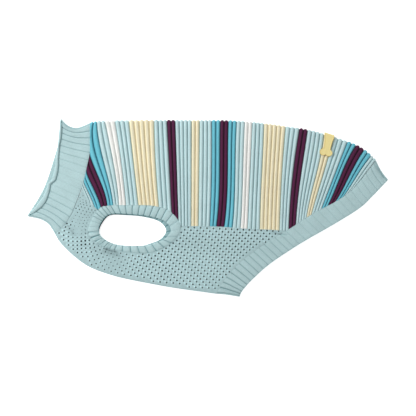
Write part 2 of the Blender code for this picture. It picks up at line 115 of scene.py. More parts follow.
class Edge:
    """A line through many points, measured along its length."""

    def __init__(self, points):
        self.points = np.asarray(points, float)
        steps = np.linalg.norm(np.diff(self.points, axis=0), axis=1)
        self.lengths = np.concatenate(((0.0,), np.cumsum(steps)))
        self.length = self.lengths[-1]

    def at(self, share):
        """The points at shares of the length."""
        place = np.clip(share, 0, 1) * self.length
        return np.stack([np.interp(place, self.lengths, self.points[:, axis])
                         for axis in (0, 1)], -1)

    def where(self, axis, value):
        """The points at which x (axis 0) or y (axis 1) has a value."""
        run = self.points[:, axis]
        sign = np.sign(run[-1] - run[0])
        climb = np.maximum.accumulate(run * sign)
        place = np.interp(np.asarray(value) * sign, climb, self.lengths)
        return self.at(place / self.length)

    def moved(self, distance):
        """The same line, moved to the left of its direction."""
        along = np.gradient(self.points, axis=0)
        left = np.stack((-along[:, 1], along[:, 0]), -1)
        return Edge(self.points + unit(left) * distance)

    def beside(self, share, distance):
        """Points at a distance to the left of the line."""
        ahead = self.at(share + NUDGE) - self.at(share - NUDGE)
        left = np.stack((-ahead[..., 1], ahead[..., 0]), -1)
        size = np.maximum(np.linalg.norm(left, axis=-1, keepdims=True), 1e-9)
        return self.at(share) + distance * left / size

    def part(self, start, end, steps=24):
        """A stretch between two shares of the length, or backwards."""
        return Edge(self.at(np.linspace(start, end, steps + 1)))

    def share_at(self, point):
        """The share of the length at the point that lies nearest."""
        nearest = np.argmin(np.linalg.norm(self.points - point, axis=1))
        return self.lengths[nearest] / self.length


SMOOTH_STEPS = 8  # short lines from one point to the next


def smooth(points, closed=False):
    """A Catmull-Rom curve through the points."""
    points = np.asarray(points, float)
    if closed:
        points = np.vstack((points[-1:], points, points[:2]))
    else:
        points = np.vstack((2 * points[:1] - points[1:2], points,
                            2 * points[-1:] - points[-2:-1]))
    t = np.arange(SMOOTH_STEPS)[:, None] / SMOOTH_STEPS
    curve = []
    for a, b, c, d in zip(points, points[1:], points[2:], points[3:]):
        curve.append(0.5 * (2 * b + (c - a) * t + (2 * a - 5 * b + 4 * c - d) * t ** 2
                            + (3 * b - a - 3 * c + d) * t ** 3))
    return Edge(np.vstack(curve + [points[-2:-1]]))


def join(*edges):
    """Several lines end to end."""
    return Edge(np.vstack([edge.points for edge in edges]))


# %% The outline and the seams, as (x, y)
SPINE = ((-147.5, 107), (-122, 109), (-47, 109.5), (27, 109), (62, 106.5), (96, 102),
         (130, 96.5), (160, 87.5), (182.5, 80), (197.5, 71.5), (210.5, 59.5))
BELLY_FOLD = ((-192, -32), (-185, -43.5), (-170, -58.5), (-155, -70), (-140, -77.5),
              (-110, -87), (-57.5, -97.5), (-27.5, -102.5), (10.5, -107.5))
COLLAR_SEAM = ((-147.5, 107), (-147.5, 95), (-147.5, 83), (-147.5, 71), (-149.2, 62),
               (-151.5, 52), (-155.5, 34), (-163, 12), (-170, -5), (-178.5, -18.8),
               (-187, -28), (-192, -32))
COLLAR_MOUTH = ((-184.7, 112.6), (-187.8, 81), (-193.6, 59.5), (-200.6, 37.5),
                (-206, 24), (-214.2, 9), (-227, -10.3))
COLLAR_NAPE = ((-147.5, 107), (-155, 103.5), (-163, 100.8), (-170, 101.3), (-177.5, 105),
               (-184.7, 112.6))
COLLAR_THROAT = ((-192, -32), (-195, -27), (-200, -20), (-207.5, -15), (-215, -12.5),
                 (-227, -10.3))
HEM_SEAM = ((210.5, 59.5), (189, 32.5), (178, 21), (160, 8.5), (131, -7), (98, -28.3),
            (65.5, -49), (43, -66), (27, -82), (17.5, -95), (10.5, -107.5))
HEM_EDGE = ((225.6, 35.5), (205, 14), (190, 0), (160, -19), (115, -45), (77.5, -70),
            (55, -90), (46.2, -99.6), (41.6, -105.8), (39.5, -111.2))
HEM_TOP = ((210.5, 59.5), (214.6, 51), (219.5, 43), (225.6, 35.5))
HEM_FOOT = ((10.5, -107.5), (20, -108.2), (30, -109.7), (39.5, -111.2))
HEM_CORNER = (98, -28.3)
COLLAR_CORNER = (-157.5, 25)
SHOULDER_SEAM = (COLLAR_CORNER, (-153, 15.8), (-149, 7.6))
FLANK_SEAM = ((12, -23), (43, -25.5), (65.5, -26.5), HEM_CORNER)

# Armhole band, once round: outer edge x and y, hole edge x and y.
ARMHOLE = (
    (-137.5, -2, -128, -11.5),
    (-124.5, 3.2, -117.5, -7.5),
    (-96, 3.5, -96, -8),
    (-70, 3, -75, -10),
    (-47.5, -4, -55, -16),
    (-34, -22.5, -46.5, -27),
    (-41.5, -40, -53, -37.5),
    (-58, -51, -65, -43),
    (-77, -56.5, -81.5, -47),
    (-115, -53, -112.5, -46),
    (-141, -42.5, -131.5, -37.5),
    (-150, -26, -136.5, -26),
)
ARMHOLE_TOP_ROWS = 6  # rows of the table that border the back panel
LYING_SHIFT = (-6, -1)  # the lying half's armhole, against the near one

collar_line, hem_line, spine = smooth(COLLAR_SEAM), smooth(HEM_SEAM), smooth(SPINE)
print(f"Neck seam {collar_line.length:.0f} mm, hem seam {hem_line.length:.0f} mm, one side")

# %% Seams round the armhole, for each half
def armhole_edges(half):
    """Outer edge and hole edge of the armhole band, both once round."""
    shift = np.array(LYING_SHIFT if half == "lying" else (0, 0))
    table = np.array(ARMHOLE, float)
    return (smooth(table[:, 0:2] + shift, closed=True),
            smooth(table[:, 2:4] + shift, closed=True))


def armhole_top_share(outer):
    """The share of the band's outer edge at which the flank seam meets it."""
    return outer.lengths[SMOOTH_STEPS * (ARMHOLE_TOP_ROWS - 1)] / outer.length


def side_seams(half):
    """Shoulder seam and flank seam of one half, each meeting the armhole band."""
    outer = armhole_edges(half)[0]
    shoulder = smooth(SHOULDER_SEAM + (tuple(outer.at(0)),))
    flank = smooth((tuple(outer.at(armhole_top_share(outer))),) + FLANK_SEAM)
    return shoulder, flank


def back_foot(half):
    """Lower edge of the back panel: shoulder seam, armhole, flank seam, hem seam."""
    outer = armhole_edges(half)[0]
    shoulder, flank = side_seams(half)
    over = outer.part(0, armhole_top_share(outer), 60)
    rear = hem_line.part(hem_line.share_at(HEM_CORNER), 0, 60)
    return join(shoulder, over, flank, rear).moved(SEAM_GAP / 2)


def belly_head(half):
    """Upper edge of the belly panel in its three stretches."""
    outer = armhole_edges(half)[0]
    shoulder, flank = side_seams(half)
    under = outer.part(1, armhole_top_share(outer), 120)
    return (shoulder.moved(-SEAM_GAP / 2).part(CORNER_GAP / shoulder.length, 0.97),
            under.moved(-SEAM_GAP / 2).part(0.005, 0.995, 120),
            flank.moved(-SEAM_GAP / 2).part(0.01, 1 - CORNER_GAP / flank.length))


print(f"Armhole band {armhole_edges('near')[0].length:.0f} mm round its outer edge")


# %% [markdown]
# ## Creases that cross the pieces
#
# Cloth that is laid down by hand is never quite level. A crease is one soft ridge or
# trough along a straight line, and a row of a short table places each one. Every
# piece of the near half reads its height from the same function, so that creases
# run over the seams without a break.

# %% Creases
# From x and y, to x and y, half width, height, and how much painted shade darkens the yarn
# there.
CREASES = (
    (-152, -30.5, -138, -31, 0.9, -0.8, 0.3),
    (-147, -38, -135, -33, 1.0, -1.1, 0.55),
    (-143, -36.5, -136, -33.8, 1.2, 0.8, 0),
    (-142, -42.5, -134, -36, 1.0, -0.7, 0.25),
    (-138, -46, -130, -38.5, 1.1, -0.8, 0.25),
    (-133, -48, -127, -40, 1.2, -0.8, 0.2),
    (-126, -51, -121, -43, 1.5, -0.8, 0.3),
    (-128, -51.5, -115, -54.5, 1.0, -0.7, 0.5),
    (-128, -56, -113, -58.5, 3.0, -0.8, 0.3),
    (-176, -22, -169, -30, 3.0, -0.9, 0.25),
    (-164, -10, -160, -38, 4, 0.6, 0),
    (-150, -48, -140, -52, 3, -0.7, 0.15),
    (80, -30.5, 97, -33.5, 1.2, -1.1, 0.5),
    (78, -33.5, 96, -36, 1.2, 0.7, 0),
    (60, -30, 75, -34, 2.2, -0.3, 0.1),
    (-90, -64, 0, -72, 12, 0.35, 0),
    (-30, -45, 60, -52, 14, -0.3, 0.08),
    (-100, 60, 20, 70, 26, 0.35, 0),
    (60, 60, 110, 20, 22, -0.3, 0),
    (120, 70, 160, 30, 18, 0.35, 0),
    (210.5, 55, 221, 40, 1.3, -0.9, 0.5),
    (18, -103, 38, -109, 2.0, -0.5, 0.25),
)


HEIGHT, SHADE = 5, 6  # their columns in the table


def creases_at(flat, column):
    """The sum of all creases at flat points: their height or their shade."""
    total = np.zeros(flat.shape[:-1])
    for row in CREASES:
        start, run = np.array(row[:2]), np.array((row[2] - row[0], row[3] - row[1]))
        length = np.linalg.norm(run)
        along = (flat - start) @ run / length
        beside = (flat - start) @ np.array((-run[1], run[0])) / length
        past = along - np.clip(along, 0, length)
        total += row[column] * np.exp(-(beside / row[4]) ** 2 - (past / (2 * row[4])) ** 2)
    return total


def relief(flat):
    """How far the near half is lifted by creases at flat points."""
    return creases_at(flat, HEIGHT)


def crease_shade(flat):
    """Painted shade: how much lower the crest value is in the troughs of creases."""
    return -creases_at(flat, SHADE)


print(f"{len(CREASES)} creases, up to {max(row[HEIGHT] for row in CREASES)} mm high")

# %% [markdown]
# ## From a grid of points to a closed piece of cloth
#
# Each piece is two grids of points, its outer and its inner skin, in columns and
# rows. A rim closes them along every open edge. The Solidify modifier could add the
# inner skin, but then the inside would copy every rib, and the underside would not
# stay level. Two values are stored at each point for the materials. The first is how
# high it is on its rib, which sets the painted shade in the valleys, with painted
# light and shade added in places. The second is which knitted loop it belongs to.

# %% Cloth from two grids
def open_edges(faces, total):
    """Both ends of each side of the faces, and whether no other face has that side."""
    start, end = faces.ravel(), np.roll(faces, -1, axis=1).ravel()
    return start, end, ~np.isin(start * total + end, end * total + start)


def cloth(name, outer, inner, crest_shade, loops, materials, painted=None, present=None,
          closed=False, inner_crest=0.5):
    """A closed wall from grids of points (columns, rows, 3) in millimetres."""
    columns, rows = outer.shape[:2]
    total = columns * rows
    number = np.arange(total).reshape(columns, rows)
    if closed:
        number = np.vstack((number, number[:1]))
    cells = np.stack((number[:-1, :-1], number[1:, :-1],
                      number[1:, 1:], number[:-1, 1:]), -1)
    paint = np.zeros(cells.shape[:2], int) if painted is None else painted
    paint = np.broadcast_to(paint, cells.shape[:2])
    if present is not None:
        cells, paint = cells[present], paint[present]
    cells, paint = cells.reshape(-1, 4), paint.reshape(-1)

    start, end, is_open = open_edges(cells, total)
    start, end = start[is_open], end[is_open]
    rim = np.stack((end, start, start + total, end + total), -1)
    faces = np.vstack((cells, cells[:, ::-1] + total, rim))
    paint = np.concatenate((paint, paint, paint.repeat(4)[is_open]))

    points = np.vstack((outer.reshape(-1, 3), inner.reshape(-1, 3))) * MM
    inner_crest = np.broadcast_to(inner_crest, crest_shade.shape)
    crest_shade = np.concatenate((crest_shade.ravel(), inner_crest.ravel()))
    loops = np.tile(loops.reshape(-1, 2), (2, 1))
    return mesh_piece(name, points, faces, crest_shade, loops, materials, paint)


def mesh_piece(name, points, faces, crest_shade, loops, materials, paint=None, sharp=55):
    """An object from points and faces, turned so that its faces point out."""
    corners = points[faces]
    volume = np.einsum("ij,ij->i", corners[:, 0],
                       np.cross(corners[:, 1], corners[:, 2])).sum()
    if volume < 0:
        faces = faces[:, ::-1]
    used, faces = np.unique(faces, return_inverse=True)
    faces = faces.reshape(-1, corners.shape[1])
    mesh = bpy.data.meshes.new(name)
    mesh.from_pydata(points[used].tolist(), [], faces.tolist())
    # the first value is the height on the rib, plus painted light and shade
    for label, kind, values in (("crest_shade", "FLOAT", crest_shade[used]),
                                ("loops", "FLOAT2", loops[used])):
        attribute = mesh.attributes.new(label, kind, "POINT")
        field = "value" if kind == "FLOAT" else "vector"
        values = np.ascontiguousarray(values, np.float32).ravel()
        attribute.data.foreach_set(field, values)
    for material in materials:
        mesh.materials.append(material)
    if paint is not None:
        mesh.polygons.foreach_set("material_index", paint.astype(np.int32))
    mesh.shade_smooth()
    mesh.set_sharp_from_angle(angle=math.radians(sharp))
    piece = bpy.data.objects.new(name, mesh)
    bpy.context.scene.collection.objects.link(piece)
    triangles = sum(len(polygon.vertices) - 2 for polygon in mesh.polygons)
    print(f"{name}: {triangles} triangles")
    return piece


def stacked(flat, height):
    """Flat points and a height as points in space."""
    height = np.broadcast_to(height, flat.shape[:-1])
    return np.concatenate((flat, height[..., None]), -1)


# %% Ribs
def rib(share, flatness):
    """Height of a rib, 0 in its valleys and 1 on its crest, at a share of its width."""
    return (1 - np.abs(2 * (share % 1) - 1) ** flatness) ** 0.9


def eased(count):
    """Shares from 0 to 1, closer together at both ends."""
    return (1 - np.cos(np.linspace(0, math.pi, count))) / 2


def rib_columns(count, samples):
    """Places across a number of ribs, the same few on each."""
    places = (np.arange(count)[:, None] + np.array(samples)).ravel()
    return np.append(places, count)


ROUND, FLAT = 2.2, 6  # body ribs, band ribs
ROUND_SAMPLES = (0, 0.09, 0.22, 0.4, 0.6, 0.78, 0.91)
FLAT_SAMPLES = (0, 0.05, 0.12, 0.25, 0.42, 0.58, 0.75, 0.88, 0.95)
print(f"{len(ROUND_SAMPLES)} columns on a body rib, {len(FLAT_SAMPLES)} on a band rib")

# %% [markdown]
# ## Colours and knit
#
# Cotton yarn is matt, with a soft sheen from its loose fibres. Two effects are shared
# by every yarn, so each is a node group. One draws the loops of the knit, which lie
# in a V on each column of loops. The other tones the yarn: deeper in the valleys,
# where light hardly reaches, and a little uneven along its length.

# %% Node helpers
def new_group(name, inputs, outputs):
    """An empty shader node group with named sockets."""
    group = bpy.data.node_groups.new(name, "ShaderNodeTree")
    for direction, sockets in (("INPUT", inputs), ("OUTPUT", outputs)):
        for label, kind in sockets:
            group.interface.new_socket(label, in_out=direction,
                                       socket_type="NodeSocket" + kind)
    return group, group.nodes.new("NodeGroupInput"), group.nodes.new("NodeGroupOutput")


def set_inputs(tree, node, inputs):
    """Give a node's inputs their numbers and colours, or link them to other sockets."""
    for place, value in dict(inputs).items():
        if isinstance(value, bpy.types.NodeSocket):
            tree.links.new(value, node.inputs[place])
        else:
            node.inputs[place].default_value = value


def add_node(tree, kind, inputs=(), **settings):
    """A new shader node with its settings and inputs."""
    node = tree.nodes.new("ShaderNode" + kind)
    for label, value in settings.items():
        setattr(node, label, value)
    set_inputs(tree, node, inputs)
    return node


def math_node(tree, operation, *operands):
    """The result of a Math node, each operand a number or a socket."""
    return add_node(tree, "Math", enumerate(operands), operation=operation).outputs[0]


def mixed(tree, factor, first, second):
    """A colour between two others."""
    node = add_node(tree, "Mix", data_type="RGBA")
    set_inputs(tree, node, {"Factor": factor, 6: first, 7: second})
    return node.outputs[2]


def noise(tree, place, scale, detail=2):
    """A cloudy pattern."""
    return add_node(tree, "TexNoise", {"Vector": place, "Scale": scale,
                                       "Detail": detail}).outputs[0]


def new_finish(name, inputs):
    """A material, its node tree and its shader, with numbers on the shader's sockets."""
    material = bpy.data.materials.new(name)
    material.use_nodes = True
    shader = material.node_tree.nodes["Principled BSDF"]
    set_inputs(material.node_tree, shader, inputs)
    return material, material.node_tree, shader


# %% Node group: knitted loops
def make_loops_group():
    """Height of the V-shaped loops, from loop coordinates."""
    group, source, result = new_group(
        "Knitted loops", (("Loops", "Vector"),), (("Height", "Float"),))
    compute = partial(math_node, group)
    split = add_node(group, "SeparateXYZ", {0: source.outputs["Loops"]})
    wale = compute("FRACT", split.outputs[0])
    off_centre = compute("ABSOLUTE", compute("SUBTRACT", wale, 0.5))
    slanted = compute("SUBTRACT", split.outputs[1], off_centre)
    wave = compute("SINE", compute("MULTIPLY", slanted, 2 * math.pi))
    course = compute("ADD", compute("MULTIPLY", wave, 0.5), 0.5)
    edge = compute("POWER", compute("MULTIPLY", off_centre, 2), 6)
    set_inputs(group, result, {"Height": compute("SUBTRACT", course, edge)})
    return group


LOOPS_GROUP = make_loops_group()
print("Group:", LOOPS_GROUP.name)


# %% Node group: tone of the yarn, and painted shade
CLOUDS, FIBRES = (55, 4), (900, 3)  # scale and detail of the two noises
UNEVEN, FLECKED, LOOP_SHADE = 0.16, 0.3, 0.09  # how much each changes the tone; the loops' share is painted shade between them
PLAIN_TONE, DARKEST = 0.98, 0.05
VALLEY_SHADE_POWER = 1.3  # how narrow the painted valley shade is


def make_tone_group():
    """Yarn colour, with painted shade deeper in the valleys, and slightly uneven.

    A crest above 1 gets a painted highlight, and one below 0 gets painted shade, as in a dark
    fold.
    """
    group, source, result = new_group(
        "Yarn tone and painted shade",
        (("Color", "Color"), ("Valley shade color", "Color"), ("Crest shade", "Float"),
         ("Depth", "Float"), ("Loop height", "Float"), ("Place", "Vector")),
        (("Color", "Color"), ("Fuzz", "Float")))
    given, compute = source.outputs, partial(math_node, group)
    cloud, fuzz = (noise(group, given["Place"], *pattern) for pattern in (CLOUDS, FIBRES))
    # painted shade in the valleys, from the crest value
    valley_shade = compute("MAXIMUM", compute("SUBTRACT", 1.0, given["Crest shade"]), 0.0)
    valley_shade = compute("MULTIPLY", compute("POWER", valley_shade, VALLEY_SHADE_POWER), given["Depth"])
    valley_shaded = mixed(group, valley_shade, given["Color"], given["Valley shade color"])
    uneven = compute("MULTIPLY", compute("SUBTRACT", cloud, 0.5), UNEVEN)
    fleck = compute("MULTIPLY", compute("SUBTRACT", fuzz, 0.5), FLECKED)
    # painted shade between the loops, where they are low
    loop = compute("MULTIPLY", given["Loop height"], LOOP_SHADE)
    value = compute("ADD", compute("ADD", uneven, fleck), loop)
    # painted highlight above a crest of 1, painted shade below 0
    painted_highlight = compute("MAXIMUM", compute("SUBTRACT", given["Crest shade"], 1.0), 0.0)
    painted_shade = compute("MINIMUM", given["Crest shade"], 0.0)
    value = compute("ADD", compute("ADD", value, painted_highlight), painted_shade)
    value = compute("MAXIMUM", compute("ADD", value, PLAIN_TONE), DARKEST)
    tone = add_node(group, "HueSaturation", {"Value": value, "Color": valley_shaded})
    set_inputs(group, result, {"Color": tone.outputs[0], "Fuzz": fuzz})
    return group


TONE_GROUP = make_tone_group()
print("Group:", TONE_GROUP.name)

# %% Yarns
# Linear colours: on the crest, and the painted shade in the valley. Last, how
# strongly the painted shade tones the valleys.
YARN = {
    "pale": ((0.53, 0.71, 0.73), (0.21, 0.37, 0.39), 0.7),
    "aqua": ((0.16, 0.54, 0.65), (0.002, 0.08, 0.14), 1.0),
    "plum": ((0.090, 0.016, 0.056), (0.003, 0.0005, 0.003), 1.0),
    "white": ((0.82, 0.82, 0.79), (0.76, 0.78, 0.77), 0.7),
    "cream": ((0.80, 0.74, 0.535), (0.78, 0.67, 0.42), 0.8),
    "band": ((0.445, 0.615, 0.63), (0.07, 0.24, 0.27), 0.7),
    "openwork": ((0.435, 0.61, 0.63), (0.004, 0.02, 0.024), 1.0),
}


def yarn(name):
    """A knitted finish in one colour."""
    # valley is the colour of the painted shade in the valleys
    colour, valley, depth = YARN[name]
    material, tree, shader = new_finish(f"{name}_yarn", {
        "Roughness": 0.88, "Sheen Weight": 0.06, "Sheen Roughness": 0.55,
        "Specular IOR Level": 0.12})
    crest_shade, loops = (add_node(tree, "Attribute", attribute_name=label)
                    for label in ("crest_shade", "loops"))
    place = add_node(tree, "TexCoord").outputs["Object"]
    knit = add_node(tree, "Group", node_tree=LOOPS_GROUP)
    set_inputs(tree, knit, {"Loops": loops.outputs["Vector"]})
    tone = add_node(tree, "Group", node_tree=TONE_GROUP)
    set_inputs(tree, tone, {
        "Color": (*colour, 1), "Valley shade color": (*valley, 1), "Depth": depth,
        "Crest shade": crest_shade.outputs["Fac"], "Loop height": knit.outputs["Height"],
        "Place": place})
    surface = math_node(tree, "ADD", knit.outputs["Height"], tone.outputs["Fuzz"])
    bump = add_node(tree, "Bump", {"Strength": 0.6, "Distance": 0.0004, "Height": surface})
    set_inputs(tree, shader, {"Base Color": tone.outputs["Color"],
                              "Normal": bump.outputs["Normal"]})
    return material


yarns = {name: yarn(name) for name in YARN}
print("Yarns:", ", ".join(yarns))

# %% [markdown]
# ## The back panel
#
# Seventy-four ribs run from the spine down to the seams and over the fold to the
# other side. A table gives each stripe its colour, its number of ribs and where its
# first valley lies, and the ribs in between share the width. A texture could paint
# the stripes, but here each rib's faces have their own yarn, so that the colours
# change exactly in a valley, as they do in knitting.

# %% Stripes of the back panel
# Where a stripe's first valley meets the spine (crown) and the lower seam (foot), and
# how far it strays from the straight line at two thirds and one third of its height.
STRIPES = (
    # colour, ribs, crown, high, low, foot
    ("pale", 2, None, 0, 0, -152),
    ("aqua", 2, None, 0, 0, -142),
    ("plum", 2, None, 0, 0, -134),
    ("aqua", 2, -147.3, -9.5, -3.5, -126),
    ("pale", 2, -139, -2, 0, -118.5),
    ("white", 2, -129, 1.5, 2, -111.5),
    ("pale", 3, -116.5, 1, 1, -102.5),
    ("cream", 5, -99, 0, 0, -87),
    ("pale", 3, -67.5, -1, -1, -61.5),
    ("plum", 2, -51.5, 0, 0, -45.5),
    ("pale", 4, -41, 0, 0, -37),
    ("cream", 2, -20.5, 0, 0, -21),
    ("pale", 3, -10.5, 0, 0, -12),
    ("aqua", 2, 4.5, 1, 1, 2.2),
    ("plum", 2, 15.5, 1, 2, 10.6),
    ("aqua", 2, 25.5, 1, 2, 20.2),
    ("pale", 2, 36, 0, 1, 30.6),
    ("white", 2, 46, 0, 0.5, 40.6),
    ("pale", 3, 55.5, 0, 0, 49.5),
    ("cream", 5, 70, 0, -0.5, 65),
    ("pale", 3, 97, -1, -1, 89.5),
    ("plum", 2, 114.5, -2, -2, 101),
    ("pale", 4, 124.8, -1, -1.5, 110),
    ("cream", 2, 145.2, 1.5, 0, 123.5),
    ("pale", 3, 157, 0.5, 0, 129.6),
    ("aqua", 2, 174.5, 0, 0, 142),
    ("plum", 2, 185.5, -2, -0.5, 150),
    ("aqua", 2, 195.5, -1, 0, 159.7),
    ("pale", 2, 204.4, -1.2, -0.5, 170),
    ("end", 0, 210.3, 0, 0.6, 180),
)
NECK_VALLEYS = ((0, 25.7), (2, 35), (4, 49.5), (6, 75.5))  # valley, height on the neck
FIRST_SPINE_VALLEY = 6
NECK_TOP = 2 / 3  # share of the height at which neck ribs end

valleys = np.cumsum([0] + [row[1] for row in STRIPES[:-1]])
BACK_RIBS = valleys[-1]
feet = np.array([row[5] for row in STRIPES], float)
spine_rows = [index for index, row in enumerate(STRIPES) if row[2] is not None]
crowns, highs, lows = (np.array([STRIPES[index][column] for index in spine_rows], float)
                       for column in (2, 3, 4))
rib_colours = [row[0] for row in STRIPES for _ in range(row[1])]
print(f"{BACK_RIBS} ribs in {len(STRIPES) - 1} stripes")


# %% Flat shape of the back panel
neck_line = collar_line.moved(SEAM_GAP / 2)
back_feet = {half: back_foot(half) for half in ("near", "lying")}


def bowed(low, high, share):
    """A cubic that is 0 at both ends and has given values at one and two thirds."""
    return 13.5 * share * (1 - share) * (low * (2 / 3 - share) + high * (share - 1 / 3))


def spine_point(half, columns, shares):
    """Points on ribs that reach the spine."""
    numbers = valleys[spine_rows]
    foot = back_feet[half].where(0, np.interp(columns, valleys, feet))[:, None]
    crown = spine.where(0, np.interp(columns, numbers, crowns))[:, None]
    points = between(foot, crown, shares[..., None])
    low, high = (np.interp(columns, numbers, column)[:, None] for column in (lows, highs))
    points[..., 0] += bowed(low, high, shares)
    by_neck = neck_line.where(1, points[..., 1])[..., 0]
    points[..., 0] = np.maximum(points[..., 0], by_neck)
    return points


def back_patch(half, columns, shares):
    """Flat points of the back panel: a rib for each column, shares of its height."""
    points = spine_point(half, columns, shares)
    neck = columns < FIRST_SPINE_VALLEY
    if not neck.any():
        return points
    shares = np.minimum(shares[neck], NECK_TOP)
    last = np.full(neck.sum(), float(FIRST_SPINE_VALLEY))
    tops = neck_line.where(1, read(NECK_VALLEYS, columns[neck]))
    foot = back_feet[half].where(0, np.interp(columns[neck], valleys, feet))
    last_top = neck_line.where(1, NECK_VALLEYS[-1][1])
    last_foot = back_feet[half].where(0, np.interp(FIRST_SPINE_VALLEY, valleys, feet))
    upward = shares[..., None] / NECK_TOP
    bow = spine_point(half, last, shares) - between(last_foot, last_top, upward)
    size = np.linalg.norm(tops - foot, axis=1) / np.linalg.norm(last_top - last_foot)
    points[neck] = (between(foot[:, None], tops[:, None], upward)
                    + bow * size[:, None, None] ** 1.5)
    return points


print(f"Lower edge of the back panel {back_feet['near'].length:.0f} mm, one side")


# %% [markdown]
# ## Folding a panel over
#
# Back and belly are each one panel, folded over a line. Away from the fold a point
# keeps its flat place and gets a height. Round the fold it turns about a line that
# runs inside the edge, from the near face (90 degrees) to the lying face (-90).

# %% Folded panels
def fold_edge(patch, half, columns):
    """Where a half and its fold begin, the way out, and the share of the width."""
    low, high = (patch(half, columns, np.full((len(columns), 1), float(share)))[:, 0]
                 for share in (0, 1))
    reach = 1 - HALF / np.linalg.norm(high - low, axis=1)
    centre = patch(half, columns, reach[:, None])[:, 0]
    return low, centre, unit(high - centre), reach


def fold_ring(centre, outward, angle, radius, lift):
    """Points round a fold at one angle: 90 is the near face, -90 the lying one."""
    turn = math.radians(angle)
    beside = np.asarray(radius * math.cos(turn))[..., None]
    height = HALF + radius * math.sin(turn) + lift * (1 + math.sin(turn)) / 2
    return stacked(centre + outward * beside, height)


def folded(patch, columns, near, lying, lift, outer, unfolded=0):
    """One skin of a panel that is folded over: near rows, fold rows, lying rows.

    lift is the height of the ribs, by column and near row. Columns before the one
    named unfolded end on a seam.
    """
    edges = [fold_edge(patch, half, columns) for half in ("near", "lying")]
    (_, near_centre, near_out, _), (_, lying_centre, lying_out, _) = edges
    near_reach, lying_reach = (np.where(columns < unfolded, 1, reach)[:, None]
                               for _, _, _, reach in edges)
    flat = patch("near", columns, near_reach * near)
    level = TOP if outer else TOP - WALL
    skin = [stacked(flat, level + lift + relief(flat))]
    radius = HALF if outer else LAYER_GAP / 2
    edge_lift, edge_relief = lift[:, -1], relief(flat[:, -1])
    for angle in FOLD_ANGLES:
        share = (90 - angle) / 180
        fade = np.clip((angle - RIB_FADE_TO) / (RIB_FADE_FROM - RIB_FADE_TO), 0, 1)
        ring = fold_ring(between(near_centre, lying_centre, share),
                         between(near_out, lying_out, share),
                         angle, radius + edge_lift * fade, edge_relief)
        skin.append(ring[:, None])
    flat = patch("lying", columns, lying_reach * lying)
    skin.append(stacked(flat, 0.0 if outer else WALL))
    return np.concatenate(skin, axis=1)


# %% Build the back panel
FULL_WIDTH = 4.2  # narrower ribs are flatter
LOWER_ROWS, UPPER_ROWS = 33, 15  # rows of points below and above NECK_TOP
LYING_SHARES = (1, 0.85, NECK_TOP, 0.5, 1 / 3, 0.15, 0)
PINCH, PINCH_REACH = 0.45, 2.2  # ribs are lower where the seam pinches them
FULLNESS = 0.88, 1.06  # ribs differ a little in height
SWELLS = ((0.06, 11, 1), (0.04, 4.3, 2))  # a slow and a quick wave along a rib


def make_back_panel():
    """Striped rib panel, folded over the spine."""
    random = np.random.default_rng(11)
    columns = rib_columns(BACK_RIBS, ROUND_SAMPLES)
    every = np.ones((len(columns), 1))
    near = every * np.concatenate((np.linspace(0, NECK_TOP, LOWER_ROWS),
                                   np.linspace(NECK_TOP, 1, UPPER_ROWS)[1:]))
    lying = every * np.array(LYING_SHARES)

    number = np.minimum(columns.astype(int), BACK_RIBS - 1)
    profile = rib(columns, ROUND)[:, None]
    fullness = random.uniform(*FULLNESS, BACK_RIBS)[number][:, None]
    phase = random.uniform(0, 2 * math.pi, BACK_RIBS)[number][:, None]
    flat = back_patch("near", columns, near)
    height = run_along(flat)
    swell = 1.0
    for size, length, turns in SWELLS:
        swell = swell + size * np.sin(height / length + turns * phase)
    pinched = 1 - PINCH * np.exp(-height / PINCH_REACH)
    over, up = np.gradient(flat, columns, axis=0), np.gradient(flat, axis=1)
    width = np.abs(over[..., 0] * up[..., 1] - over[..., 1] * up[..., 0])
    width = width / np.maximum(np.linalg.norm(up, axis=-1), 1e-6)
    pinched = pinched * np.clip(width / FULL_WIDTH, 0.2, 1)
    lift = between(-VALLEY_DEPTH, RIB_HEIGHT * fullness * swell, profile) * pinched

    outer = folded(back_patch, columns, near, lying, lift, True, FIRST_SPINE_VALLEY)
    inner = folded(back_patch, columns, near, lying, lift * 0, False, FIRST_SPINE_VALLEY)
    # The first ribs end at the neck, so their rows above it are left out.
    row = np.arange(outer.shape[1] - 1)
    below_neck = len(LYING_SHARES) - 1 - LYING_SHARES.index(NECK_TOP)
    above = (row >= LOWER_ROWS - 1) & (row < len(row) - below_neck)
    present = ~((columns[:-1] < FIRST_SPINE_VALLEY)[:, None] & above[None])

    along = run_along(outer)
    loops = np.stack((2 * columns[:, None] + 0 * along, along / LOOP), -1)
    names = list(dict.fromkeys(rib_colours))
    painted = np.array([names.index(rib_colours[index]) for index in number[:-1]])[:, None]
    return cloth("back_panel_knit", outer, inner, profile + 0 * along, loops,
                 [yarns[name] for name in names], painted, present)


back_panel = make_back_panel()

# %% [markdown]
# ## The belly panel and its eyelets
#
# Chest and belly are a plain knit with rows of small eyelets, each row shifted by half
# a step. Real holes are cut, so that they stay dark from any side, and the knit inside
# is given painted shade as well. A Boolean with hundreds of cutters would be slow. A
# Delaunay triangulation takes the outline and all the eyelets at once instead, and the
# triangles inside an eyelet are left out.

# %% Flat shape of the belly panel
SHOULDER_COLUMNS, SHOULDER_FOLD = 8, 0.07
ARMHOLE_COLUMNS, ARMHOLE_FOLD = 44, 0.81
FLANK_COLUMNS = 14
NECK_REACH, REAR_REACH = 12, 20  # columns that give way to a curved end
BELLY_COLUMNS = SHOULDER_COLUMNS + ARMHOLE_COLUMNS + FLANK_COLUMNS
belly_heads = {half: belly_head(half) for half in ("near", "lying")}
belly_fold = smooth(BELLY_FOLD)
belly_fold = belly_fold.part(SEAM_GAP / belly_fold.length,
                             1 - SEAM_GAP / belly_fold.length, 80)
belly_neck = collar_line.part(collar_line.share_at(COLLAR_CORNER), 1).moved(SEAM_GAP / 2)
belly_rear = hem_line.part(hem_line.share_at(HEM_CORNER), 1).moved(-SEAM_GAP / 2)


def stray(edge, shares):
    """How far a line is from the straight one between its ends."""
    return edge.at(shares) - between(edge.at(0), edge.at(1), shares[..., None])


